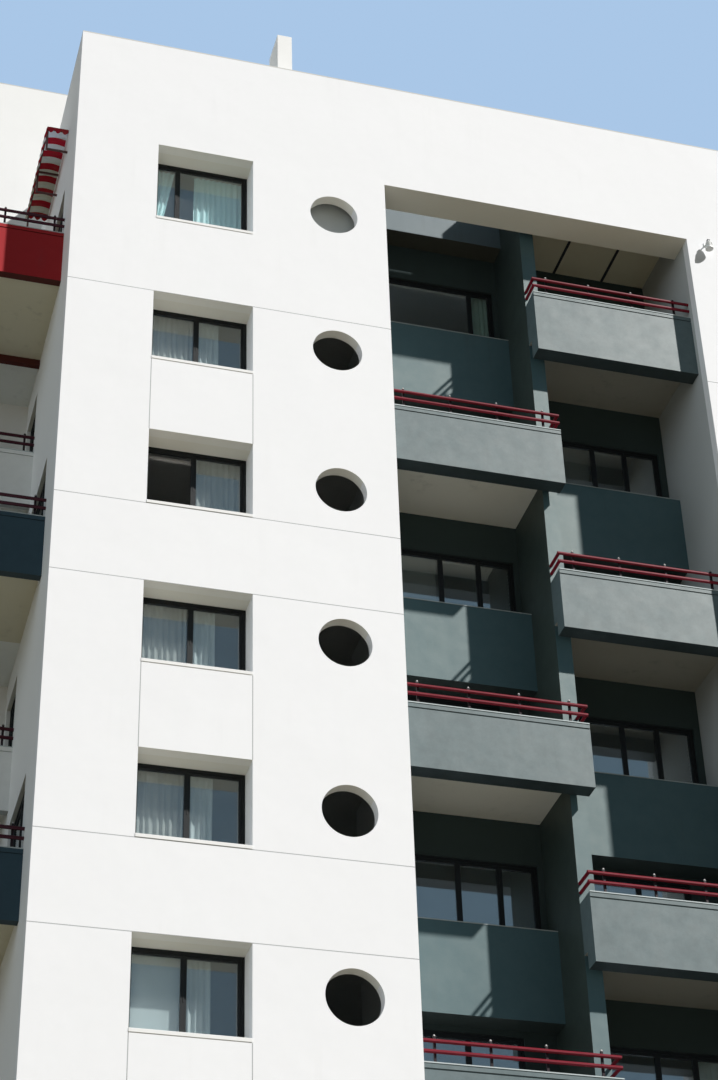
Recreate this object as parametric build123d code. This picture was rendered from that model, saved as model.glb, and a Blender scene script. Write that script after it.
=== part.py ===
"""Apartment block in white plaster with a recessed bay of staggered balconies.

Lengths are in millimetres.  X runs along the front, Y goes back into the block and Z is up.
Distances back from the front plane are written as y and shifted by FRONT when solids are made,
so the middle of the box around the block is the origin and its foot is at Z = 0.
"""
import os

from build123d import *

# Plan: half widths from the middle of the recess, and depths behind the front plane.
HALF_RECESS = 2986.0
BAY_WIDTH = 5700.0
HALF_FRONT = HALF_RECESS + BAY_WIDTH
WING_WIDTH = 3514.0
HALF_BLOCK = HALF_FRONT + WING_WIDTH
BLOCK_DEPTH = 13000.0
WING_SETBACK = 4500.0
WALL = 200.0
FRONT = -BLOCK_DEPTH / 2

# Heights: storeys are counted from 0 at ground level to 9, the top one of the front bays.
GROUND_FLOOR = 150.0
GROUND_STOREY_HIGH = 3200.0
PITCH = 3000.0
TOP_STOREY = 9
TOP_STEP = 130.0
TOP_STOREY_HIGH = 3320.0
PARAPET_HIGH = 1800.0
REAR_STOREY_HIGH = 3150.0
REAR_PARAPET = 1650.0
PIER_HIGH = 1450.0
FIRST_FLOOR = GROUND_FLOOR + GROUND_STOREY_HIGH
TOP_FLOOR = FIRST_FLOOR + PITCH * (TOP_STOREY - 1) + TOP_STEP
ROOF_DECK = TOP_FLOOR + TOP_STOREY_HIGH
PARAPET_TOP = ROOF_DECK + PARAPET_HIGH
REAR_ROOF = ROOF_DECK + REAR_STOREY_HIGH
REAR_TOP = REAR_ROOF + REAR_PARAPET
ROOF_SLAB = 150.0
SLAB = 120.0
SILL_RISE = 750.0
TOP_SILL_RISE = 820.0
TOP_SILL = TOP_FLOOR + TOP_SILL_RISE
WINDOW_HIGH = 1440.0
TOP_WINDOW_HIGH = 1740.0
BEAM_DROP = 405.0

# Front bays: one window and one round opening a storey, at distances from the bay's outer edge.
WINDOW_LEFT = 1483.0
WINDOW_RIGHT = 3223.0
ROUND_AT = 4720.0
ROUND_DIA = 880.0
ROUND_RISE = 760.0
REVEAL = 480.0
LINER = 120.0
FRAME_DEEP = 60.0
GLASS = 12.0
PANEL_STOREYS = ((0, 0), (1, 3), (4, 6), (7, 9))

# Recess: pier, back wall, spandrels under the set-back windows, and balconies.
PIER_LEFT = -116.0
PIER_RIGHT = 154.0
PIER_FRONT = 730.0
RECESS_BACK = 2150.0
SPANDREL_FRONT = 1730.0
SPANDREL_THICK = 120.0
SPANDREL_DROP = 800.0
TOP_BEAM_DEEP = 600.0
TOP_BEAM_DROP = 760.0
TOP_PARAPET_THICK = 380.0
BALCONY_FRONT = 300.0
BALCONY_BEAM = 300.0
PARAPET_THICK = 150.0
GROOVE_DOWN = 75.0
GROOVE_HIGH = 25.0
GROOVE_DEEP = 15.0
RECESS_HEAD = 1360.0
RECESS_TOP_HEAD = 1530.0
LEFT_MARGINS = (100.0, 90.0)
RIGHT_MARGINS = (80.0, 120.0)
RECESS_DOOR_WIDE = 1800.0
DOOR_HEAD = 2110.0
DOOR_STEP = 60.0
PANE_IN = 70.0
ENTRANCE = (600.0, 2200.0)
ENTRANCE_HEAD = 2350.0
LEFT_BALCONIES = (8, 6, 4, 2)
RIGHT_BALCONIES = (9, 7, 5, 3, 1)

# Wings: long balconies on odd storeys, short ones on even storeys, doors from the bay's side.
DEEP_FRONT = 850.0
SHORT_FRONT = 3100.0
DEEP_STOREYS = (9, 7, 5, 3, 1)
SHORT_STOREYS = (8, 6, 4, 2)
WING_SLAB = 250.0
WING_DROP = 405.0
TOP_WING_DROP = 300.0
CROSS_BEAM = 110.0
CROSS_BEAM_DROP = 130.0
SIDE_DOOR_HEAD = 2190.0
DEEP_DOOR = (1150.0, 2900.0)
SHORT_DOOR = (WING_SETBACK - 1300.0, WING_SETBACK - 150.0)
WING_DOOR = (400.0, 2100.0)

# Rear wall: one row of windows a storey.
REAR_WINDOWS = 6
REAR_WINDOW_WIDE = 1740.0
REAR_TOP_SILL_RISE = 850.0
REAR_LAP = 60.0

# Railings: two round rails outside square posts, with play where a rail meets a post or a rail.
RAIL_DIA = 54.0
RAIL_SIDES = 8
RAIL_RISES = (190.0, 350.0)
POST = 36.0
POST_RISE = 440.0
POST_BAY = 840.0
POST_INSET = 290.0
WING_POST_BAY = 877.0
WING_POST_INSET = 170.0
WING_POSTS = 4
END_POST_BAY = 1100.0
PLAY = 0.3

# Roof fins and the frame under the striped awning.
FIN_LEFT = 3750.0
FIN_WIDE = 280.0
FIN_DEEP = 650.0
FIN_ABOVE = 1150.0
AWNING_START = 1150.0
AWNING_END = 3450.0
AWNING_OUT = 400.0
AWNING_RISE = 1460.0
AWNING_DEEP = 900.0
AWNING_SLOPE = 350.0
AWNING_BAR = 32.0


def floor_at(k):
    """Height of the floor of storey k."""
    if k == 0:
        return GROUND_FLOOR
    return TOP_FLOOR if k == TOP_STOREY else FIRST_FLOOR + PITCH * (k - 1)


def sill_at(k):
    """Height of the window sill, and of the top of the balcony parapet, of storey k."""
    return TOP_SILL if k == TOP_STOREY else floor_at(k) + SILL_RISE


def beam_foot(k):
    """Height of the underside of the beam under the balcony of storey k."""
    return FIRST_FLOOR + PITCH * (k - 1) - BEAM_DROP


def head_at(k):
    """Height of the head of the front windows of storey k."""
    return sill_at(k) + (TOP_WINDOW_HIGH if k == TOP_STOREY else WINDOW_HIGH)


def recess_head(k):
    """Height of the head of the windows at the back of the recess."""
    return sill_at(k) + (RECESS_TOP_HEAD if k == TOP_STOREY else RECESS_HEAD)


def block(x0, x1, y0, y1, z0, z1):
    """A rectangular solid between two corners, y measured back from the front plane."""
    plane = Plane(origin=(x0, FRONT + y0, z0))
    return Solid.make_box(x1 - x0, y1 - y0, z1 - z0, plane)


def plate_sketch(u0, u1, v0, v1, holes, rounds):
    """Outline of a wall with its rectangular holes and its round openings."""
    sketch = Pos((u0 + u1) / 2, (v0 + v1) / 2) * Rectangle(u1 - u0, v1 - v0)
    for a0, a1, b0, b1 in holes:
        sketch -= Pos((a0 + a1) / 2, (b0 + b1) / 2) * Rectangle(a1 - a0, b1 - b0)
    for a, b, dia in rounds:
        sketch -= Pos(a, b) * Circle(dia / 2)
    return sketch


def facing_wall(x0, x1, z0, z1, y0, thick, holes=(), rounds=()):
    """A wall along X whose front face is at y0, cut through by its openings."""
    sketch = plate_sketch(x0, x1, z0, z1, holes, rounds)
    return Pos(0, FRONT + y0 + thick, 0) * extrude(Plane.XZ * sketch, amount=thick)


def flank_wall(y0, y1, z0, z1, x0, thick, holes=()):
    """A wall along Y whose lower face is at x0, cut through by its openings."""
    placed = [(a + FRONT, b + FRONT, c, d) for a, b, c, d in holes]
    sketch = plate_sketch(y0 + FRONT, y1 + FRONT, z0, z1, placed, ())
    return Pos(x0, 0, 0) * extrude(Plane.YZ * sketch, amount=thick)


def ring(x0, x1, z0, z1, border, y0, thick):
    """A rectangular liner around an opening."""
    return facing_wall(x0 - border, x1 + border, z0 - border, z1 + border, y0, thick, [(x0, x1, z0, z1)])


def along_x(points, x0, x1):
    """A profile drawn in (y, z), drawn out from x0 to x1."""
    outline = make_face(Polyline(*[(y + FRONT, z) for y, z in points], close=True))
    return Pos(x0, 0, 0) * extrude(Plane.YZ * outline, amount=x1 - x0)


def mirrored(shape):
    """The same shape on the other side of the middle."""
    return mirror(shape, Plane.YZ)


def both_sides(shapes):
    """The shapes and their mirror images."""
    return list(shapes) + [mirrored(shape) for shape in shapes]


def save(name, shapes):
    """Write one node, made of one solid or of several that don't touch."""
    solids = []
    for shape in shapes:
        solids.extend(shape.solids())
    export_step(Compound(solids), f"parts/{name}.step")


def parapet_profile(front, k, back, foot, beam, slab):
    """Beam, slab and parapet of a balcony in section, with the groove under its coping."""
    top = sill_at(k)
    deck = floor_at(k)
    groove = top - GROOVE_DOWN
    return [
        (front, foot),
        (front + beam, foot),
        (front + beam, deck - slab),
        (back, deck - slab),
        (back, deck),
        (front + PARAPET_THICK, deck),
        (front + PARAPET_THICK, top),
        (front, top),
        (front, groove),
        (front + GROOVE_DEEP, groove),
        (front + GROOVE_DEEP, groove - GROOVE_HIGH),
        (front, groove - GROOVE_HIGH),
    ]


def recess_balcony(k, left_column):
    """A balcony of the recess: its front runs across the pier, its slab stops beside it."""
    if left_column:
        slab = (-HALF_RECESS, PIER_LEFT)
        across = (PIER_LEFT, PIER_RIGHT)
    else:
        slab = (PIER_RIGHT, HALF_RECESS)
        across = (PIER_LEFT, PIER_RIGHT)
    foot = beam_foot(k)
    body = along_x(parapet_profile(BALCONY_FRONT, k, RECESS_BACK, foot, BALCONY_BEAM, SLAB), *slab)
    end = along_x(parapet_profile(BALCONY_FRONT, k, PIER_FRONT, foot, BALCONY_BEAM, SLAB), *across)
    if left_column:
        side = block(PIER_RIGHT - PARAPET_THICK, PIER_RIGHT, BALCONY_FRONT + PARAPET_THICK, PIER_FRONT,
                     floor_at(k) - SLAB, sill_at(k))
    else:
        side = block(PIER_LEFT, PIER_LEFT + PARAPET_THICK, BALCONY_FRONT + PARAPET_THICK, PIER_FRONT,
                     floor_at(k) - SLAB, sill_at(k))
    return body + end + side


def wing_balcony(k, front):
    """A balcony of the left wing, with a parapet at its front and at its outer end."""
    foot = floor_at(k) - (TOP_WING_DROP if k == TOP_STOREY else WING_DROP)
    profile = parapet_profile(front, k, WING_SETBACK, foot, PARAPET_THICK, WING_SLAB)
    shape = along_x(profile, -HALF_BLOCK, -HALF_FRONT)
    shape += block(-HALF_BLOCK, -HALF_BLOCK + PARAPET_THICK, front + PARAPET_THICK / 2, WING_SETBACK,
                   foot, sill_at(k))
    if k == TOP_STOREY:
        under = floor_at(k) - WING_SLAB
        shape += block(-HALF_BLOCK + PARAPET_THICK / 2, -HALF_FRONT, SHORT_FRONT, SHORT_FRONT + CROSS_BEAM,
                       under - CROSS_BEAM_DROP, under + WING_SLAB / 2)
    return shape


def rail(start, end, height):
    """One straight rail between two points (x, y) of a plan, as a bar of eight flats."""
    along = (end[0] - start[0], end[1] - start[1], 0)
    plane = Plane(origin=(start[0], FRONT + start[1], height), z_dir=along)
    section = RegularPolygon(RAIL_DIA / 2, RAIL_SIDES, major_radius=False, rotation=180.0 / RAIL_SIDES)
    length = abs(end[0] - start[0]) + abs(end[1] - start[1])
    return extrude(plane * section, amount=length)


def rail_pair(start, end, k):
    """The two rails of one straight run above the parapet of storey k."""
    return [rail(start, end, sill_at(k) + rise) for rise in RAIL_RISES]


def posts_at(places, k):
    """Square posts that stand on the parapet of storey k."""
    half = POST / 2
    base = sill_at(k)
    return [block(x - half, x + half, y - half, y + half, base, base + POST_RISE) for x, y in places]


def spaced(start, end, bay):
    """Positions at even spacing of about one bay, both ends included."""
    count = max(1, round((end - start) / bay))
    return [start + (end - start) * i / count for i in range(count + 1)]


def recess_railing(k, left_column):
    """The railing of a recess balcony: along its front and back to the pier at its free end."""
    line = BALCONY_FRONT + PARAPET_THICK / 2
    outside = (POST + RAIL_DIA) / 2 + PLAY
    if left_column:
        wall, free, inward = -HALF_RECESS, PIER_RIGHT, -1
    else:
        wall, free, inward = HALF_RECESS, PIER_LEFT, 1
    inset = inward * POST_INSET
    places = [(x, line) for x in spaced(free + inset, wall - inset, inward * POST_BAY)]
    corner = free + inward * (PARAPET_THICK / 2 - outside)
    front = rail_pair((wall, line - outside), (corner - inward * RAIL_DIA / 2, line - outside), k)
    side = rail_pair((corner, line - outside + RAIL_DIA / 2 + PLAY), (corner, PIER_FRONT), k)
    return posts_at(places, k) + front + side


def wing_railing(k, front):
    """The railing of a left wing balcony: along its front and along its outer end."""
    line = front + PARAPET_THICK / 2
    outer = -HALF_BLOCK + PARAPET_THICK / 2
    outside = (POST + RAIL_DIA) / 2 + PLAY
    places = [(-HALF_FRONT - WING_POST_INSET - WING_POST_BAY * n, line) for n in range(WING_POSTS)]
    places += [(outer, y) for y in spaced(line + POST_INSET, WING_SETBACK - WING_POST_INSET, END_POST_BAY)]
    corner = outer - outside
    along = rail_pair((-HALF_FRONT, line - outside), (corner - RAIL_DIA / 2, line - outside), k)
    back = rail_pair((corner, line - outside + RAIL_DIA / 2 + PLAY), (corner, WING_SETBACK), k)
    return posts_at(places, k) + along + back


def front_panel(first, last):
    """Front wall of the left bay over some storeys, with its windows and round openings."""
    z0 = 0.0 if first == 0 else beam_foot(first) + BEAM_DROP
    z1 = PARAPET_TOP if last == TOP_STOREY else beam_foot(last + 1) + BEAM_DROP
    holes = []
    rounds = []
    for k in range(first, last + 1):
        holes.append((-HALF_FRONT + WINDOW_LEFT, -HALF_FRONT + WINDOW_RIGHT, sill_at(k), head_at(k)))
        rounds.append((-HALF_FRONT + ROUND_AT, sill_at(k) + ROUND_RISE, ROUND_DIA))
    return facing_wall(-HALF_FRONT, -HALF_RECESS, z0, z1, 0.0, WALL, holes, rounds)


def make_front():
    """Front walls, window liners and glass of both bays, and the beam across the recess."""
    for number, (first, last) in enumerate(PANEL_STOREYS):
        panel = front_panel(first, last)
        save(f"front_wall_left_{number}", [panel])
        save(f"front_wall_right_{number}", [mirrored(panel)])
    liners = []
    panes = []
    x0, x1 = -HALF_FRONT + WINDOW_LEFT, -HALF_FRONT + WINDOW_RIGHT
    pane_front = REVEAL + (FRAME_DEEP - GLASS) / 2
    for k in range(TOP_STOREY + 1):
        liners.append(ring(x0, x1, sill_at(k), head_at(k), LINER, WALL, REVEAL + FRAME_DEEP - WALL))
        panes.append(block(x0, x1, pane_front, pane_front + GLASS, sill_at(k), head_at(k)))
    save("window_liners", both_sides(liners))
    save("front_glass", both_sides(panes))
    save("top_beam", [along_x(top_beam_profile(), -HALF_RECESS, HALF_RECESS)])


def top_beam_profile():
    """Section of the beam across the recess: deep under the roof, thinner above it."""
    low = ROOF_DECK - TOP_BEAM_DROP
    return [
        (0.0, low),
        (TOP_BEAM_DEEP, low),
        (TOP_BEAM_DEEP, ROOF_DECK),
        (TOP_PARAPET_THICK, ROOF_DECK),
        (TOP_PARAPET_THICK, PARAPET_TOP),
        (0.0, PARAPET_TOP),
    ]


def make_flanks():
    """Side walls of the bays: outer ones with the wing doors, inner ones plain."""
    holes = []
    panes = []
    for k in range(1, TOP_STOREY + 1):
        y0, y1 = DEEP_DOOR if k in DEEP_STOREYS else SHORT_DOOR
        z0 = floor_at(k) + DOOR_STEP
        z1 = floor_at(k) + SIDE_DOOR_HEAD
        holes.append((y0, y1, z0, z1))
        middle = -HALF_FRONT + WALL / 2
        panes.append(block(middle - GLASS / 2, middle + GLASS / 2, y0, y1, z0, z1))
    flank = flank_wall(WALL, WING_SETBACK, 0.0, PARAPET_TOP, -HALF_FRONT, WALL, holes)
    save("side_wall_left", [flank])
    save("side_wall_right", [mirrored(flank)])
    save("side_door_glass", both_sides(panes))
    inner = flank_wall(WALL, RECESS_BACK + WALL, 0.0, PARAPET_TOP, -HALF_RECESS - WALL, WALL)
    save("recess_sides", both_sides([inner]))


def recess_openings(left_column):
    """Window and door openings at the back of one column of the recess, above the ground storey."""
    if left_column:
        balconies, first = LEFT_BALCONIES, 1
        x0, x1 = -HALF_RECESS + LEFT_MARGINS[0], PIER_LEFT - LEFT_MARGINS[1]
    else:
        balconies, first = RIGHT_BALCONIES, 0
        x0, x1 = PIER_RIGHT + RIGHT_MARGINS[0], HALF_RECESS - RIGHT_MARGINS[1]
    middle = (x0 + x1) / 2
    half = RECESS_DOOR_WIDE / 2
    holes = []
    for k in range(first, TOP_STOREY + 1):
        if k in balconies:
            holes.append((middle - half, middle + half, floor_at(k) + DOOR_STEP, floor_at(k) + DOOR_HEAD))
        else:
            holes.append((x0, x1, sill_at(k), recess_head(k)))
    return holes


def spandrel(k, x0, x1):
    """Hollow box under a set-back window: front panel, ledge and soffit in one section."""
    foot = floor_at(k) - SPANDREL_DROP
    top = sill_at(k)
    points = [
        (SPANDREL_FRONT, foot),
        (RECESS_BACK, foot),
        (RECESS_BACK, foot + SPANDREL_THICK),
        (SPANDREL_FRONT + SPANDREL_THICK, foot + SPANDREL_THICK),
        (SPANDREL_FRONT + SPANDREL_THICK, top - SPANDREL_THICK),
        (RECESS_BACK, top - SPANDREL_THICK),
        (RECESS_BACK, top),
        (SPANDREL_FRONT, top),
    ]
    return along_x(points, x0, x1)


def roof_edge(under_roof):
    """Parapet over the left column with the eave behind it, in one section."""
    points = [
        (SPANDREL_FRONT, under_roof),
        (RECESS_BACK, under_roof),
        (RECESS_BACK, ROOF_DECK),
        (SPANDREL_FRONT + WALL, ROOF_DECK),
        (SPANDREL_FRONT + WALL, PARAPET_TOP),
        (SPANDREL_FRONT, PARAPET_TOP),
    ]
    return along_x(points, -HALF_RECESS, PIER_LEFT)


def make_recess():
    """Back walls, pier, spandrels, balconies, railings and glass of the recess."""
    split = (PIER_LEFT + PIER_RIGHT) / 2
    under_roof = ROOF_DECK - ROOF_SLAB
    left_holes = recess_openings(True)
    right_holes = recess_openings(False)
    back_left = facing_wall(-HALF_RECESS, split, FIRST_FLOOR, ROOF_DECK, RECESS_BACK, WALL, left_holes)
    back_right = facing_wall(split, HALF_RECESS, 0.0, ROOF_DECK, RECESS_BACK, WALL, right_holes)
    save("recess_back_left", [back_left])
    save("recess_back_right", [back_right])
    doorway = (-HALF_RECESS + ENTRANCE[0], -HALF_RECESS + ENTRANCE[1], 0.0, ENTRANCE_HEAD)
    save("entrance_wall", [facing_wall(-HALF_RECESS, split, 0.0, FIRST_FLOOR, RECESS_BACK, WALL, [doorway])])
    panes = []
    for x0, x1, z0, z1 in left_holes + right_holes:
        y0 = RECESS_BACK + PANE_IN
        panes.append(block(x0, x1, y0, y0 + GLASS, z0, z1))
    save("recess_glass", panes)
    pier = block(PIER_LEFT, PIER_RIGHT, PIER_FRONT, RECESS_BACK, 0.0, ROOF_DECK + PIER_HIGH)
    save("recess_pier", [pier])
    left = [spandrel(k, -HALF_RECESS, PIER_LEFT) for k in RIGHT_BALCONIES]
    right = [spandrel(k, PIER_RIGHT, HALF_RECESS) for k in LEFT_BALCONIES]
    save("spandrels", left + right)
    save("balconies_left", [recess_balcony(k, True) for k in LEFT_BALCONIES])
    save("balconies_right", [recess_balcony(k, False) for k in RIGHT_BALCONIES])
    save("railings_left", [piece for k in LEFT_BALCONIES for piece in recess_railing(k, True)])
    save("railings_right", [piece for k in RIGHT_BALCONIES for piece in recess_railing(k, False)])
    save("roof_edge_wall", [roof_edge(under_roof)])
    cover = block(PIER_RIGHT, HALF_RECESS, TOP_BEAM_DEEP, RECESS_BACK, under_roof, ROOF_DECK)
    save("recess_canopy", [cover])


def make_wings():
    """Wing walls, their doors, balconies and railings on both sides."""
    holes = []
    panes = []
    for k in range(TOP_STOREY + 1):
        z0 = floor_at(k) + DOOR_STEP
        z1 = floor_at(k) + DOOR_HEAD
        x0, x1 = -HALF_BLOCK + WING_DOOR[0], -HALF_BLOCK + WING_DOOR[1]
        holes.append((x0, x1, z0, z1))
        y0 = WING_SETBACK + PANE_IN
        panes.append(block(x0, x1, y0, y0 + GLASS, z0, z1))
    wall = facing_wall(-HALF_BLOCK, -HALF_FRONT + WALL, 0.0, REAR_TOP, WING_SETBACK, WALL, holes)
    save("wing_wall_left", [wall])
    save("wing_wall_right", [mirrored(wall)])
    save("wing_glass", both_sides(panes))
    deep = [wing_balcony(k, DEEP_FRONT) for k in DEEP_STOREYS]
    short = [wing_balcony(k, SHORT_FRONT) for k in SHORT_STOREYS]
    save("deep_balconies_left", deep)
    save("deep_balconies_right", [mirrored(s) for s in deep])
    save("short_balconies_left", short)
    save("short_balconies_right", [mirrored(s) for s in short])
    rails = []
    for k in DEEP_STOREYS:
        rails += wing_railing(k, DEEP_FRONT)
    for k in SHORT_STOREYS:
        rails += wing_railing(k, SHORT_FRONT)
    save("wing_railings_left", rails)
    save("wing_railings_right", [mirrored(s) for s in rails])
    end = block(-HALF_BLOCK, -HALF_BLOCK + WALL, WING_SETBACK + WALL, BLOCK_DEPTH - WALL, 0.0, REAR_TOP)
    save("end_walls", both_sides([end]))


def make_rear():
    """Rear wall with its rows of windows, and the wall of the top storey over the front bays."""
    bay = 2 * HALF_BLOCK / REAR_WINDOWS
    inside = BLOCK_DEPTH - WALL
    holes = []
    rows = []
    for sill in [sill_at(k) for k in range(TOP_STOREY + 1)] + [ROOF_DECK + REAR_TOP_SILL_RISE]:
        head = sill + WINDOW_HIGH
        for number in range(REAR_WINDOWS):
            middle = -HALF_BLOCK + bay * (number + 0.5)
            holes.append((middle - REAR_WINDOW_WIDE / 2, middle + REAR_WINDOW_WIDE / 2, sill, head))
        low, high = sill - REAR_LAP, head + REAR_LAP
        rows.append(block(-HALF_BLOCK + WALL, HALF_BLOCK - WALL, inside - GLASS, inside, low, high))
    save("rear_wall", [facing_wall(-HALF_BLOCK, HALF_BLOCK, 0.0, REAR_TOP, inside, WALL, holes)])
    save("rear_glass", rows)
    inner = HALF_FRONT - WALL
    top = block(-inner, inner, WING_SETBACK, WING_SETBACK + WALL, ROOF_DECK - ROOF_SLAB, REAR_TOP)
    save("upper_front_wall", [top])


def make_floors():
    """Floor slabs of the rear block, the bays and the space behind the recess, and the roofs."""
    rear = []
    bays = []
    centre = []
    back = BLOCK_DEPTH - WALL - GLASS
    inner = HALF_RECESS + WALL
    for k in range(TOP_STOREY + 1):
        z0, z1 = floor_at(k) - ROOF_SLAB, floor_at(k)
        rear.append(block(-HALF_BLOCK + WALL, HALF_BLOCK - WALL, WING_SETBACK + WALL, back, z0, z1))
        bays.append(block(-HALF_FRONT + WALL, -inner, WALL, WING_SETBACK + WALL, z0, z1))
        centre.append(block(-inner, inner, RECESS_BACK + WALL, WING_SETBACK + WALL, z0, z1))
    save("floors_rear", rear)
    save("floors_bays", both_sides(bays))
    save("floors_centre", centre)
    z0, z1 = ROOF_DECK - ROOF_SLAB, ROOF_DECK
    save("bay_roofs", both_sides([block(-HALF_FRONT + WALL, -inner, WALL, WING_SETBACK, z0, z1)]))
    save("centre_roof", [block(-inner, inner, RECESS_BACK + WALL, WING_SETBACK, z0, z1)])
    low = block(-HALF_BLOCK + WALL, HALF_BLOCK - WALL, WING_SETBACK + WALL, back, z0, z1)
    z0, z1 = REAR_ROOF - ROOF_SLAB, REAR_ROOF
    high = block(-HALF_BLOCK + WALL, HALF_BLOCK - WALL, WING_SETBACK + WALL, back, z0, z1)
    save("rear_roofs", [low, high])
    fin_left = -HALF_FRONT + FIN_LEFT
    fin = block(fin_left, fin_left + FIN_WIDE, WALL, WALL + FIN_DEEP, ROOF_DECK, PARAPET_TOP + FIN_ABOVE)
    save("roof_fins", both_sides([fin]))


def make_awning_frame():
    """Bars under the striped awning over the top side door of the left wing."""
    wall = -HALF_FRONT
    out = wall - AWNING_OUT
    half = AWNING_BAR / 2
    high = TOP_FLOOR + SIDE_DOOR_HEAD + AWNING_RISE
    low = high - AWNING_DEEP + AWNING_SLOPE
    shape = None
    for y in (AWNING_START, (AWNING_START + AWNING_END) / 2, AWNING_END):
        rib = block(out, wall, y - half, y + half, high - AWNING_BAR, high)
        rib += block(out, out + AWNING_BAR, y - half, y + half, low, high)
        rib += block(out, wall, y - half, y + half, low, low + AWNING_BAR)
        shape = rib if shape is None else shape + rib
    shape += block(out, out + AWNING_BAR, AWNING_START - half, AWNING_END + half, high - AWNING_BAR, high)
    save("awning_frame", [shape])


def main():
    """Build every node."""
    os.makedirs("parts", exist_ok=True)
    make_front()
    make_flanks()
    make_recess()
    make_wings()
    make_rear()
    make_floors()
    make_awning_frame()


main()
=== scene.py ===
"""Finishes the apartment block over its fixed frame: windows, curtains, copings, awning, lamp and paint.

Lengths are in metres.  X runs along the front, Y goes back into the block and Z is up, as in the part.
Storeys are counted from 0 at ground level to 9, the top one of the front bays.
Sides are -1 for left and 1 for right.
"""
import logging
import math
from dataclasses import dataclass, field
from enum import Enum
from functools import cache, reduce
from typing import ClassVar

import bmesh
import bpy
from mathutils import Matrix, Vector


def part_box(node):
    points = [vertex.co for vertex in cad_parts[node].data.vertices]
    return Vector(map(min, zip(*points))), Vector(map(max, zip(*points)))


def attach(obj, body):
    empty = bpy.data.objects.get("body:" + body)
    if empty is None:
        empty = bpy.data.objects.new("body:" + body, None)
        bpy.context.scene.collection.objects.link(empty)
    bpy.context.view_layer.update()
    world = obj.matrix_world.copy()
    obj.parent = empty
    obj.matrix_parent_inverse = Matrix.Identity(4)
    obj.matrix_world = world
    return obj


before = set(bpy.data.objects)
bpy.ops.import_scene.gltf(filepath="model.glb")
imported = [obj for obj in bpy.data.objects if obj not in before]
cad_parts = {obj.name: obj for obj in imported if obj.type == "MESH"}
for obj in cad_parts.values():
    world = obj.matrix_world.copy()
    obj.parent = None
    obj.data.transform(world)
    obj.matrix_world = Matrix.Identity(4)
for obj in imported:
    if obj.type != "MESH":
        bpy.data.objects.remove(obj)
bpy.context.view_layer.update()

Point = tuple[float, float, float]
Span = tuple[float, float]
Colour = tuple[float, float, float]
Light = tuple[int, int, int]  # side, storey, and number from the left
Socket = bpy.types.NodeSocket
Material = bpy.types.Material
Value = float | Socket
Tone = Colour | Socket
Setting = Value | Tone | str | bool

WORDS: dict[int, str] = {-1: "left", 1: "right"}
QUARTER_X: Matrix = Matrix.Rotation(math.radians(90.0), 4, "X")
QUARTER_Y: Matrix = Matrix.Rotation(math.radians(90.0), 4, "Y")

log = logging.getLogger("block")


# Measures -----------------------------------------------------------------------------------------


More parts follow.
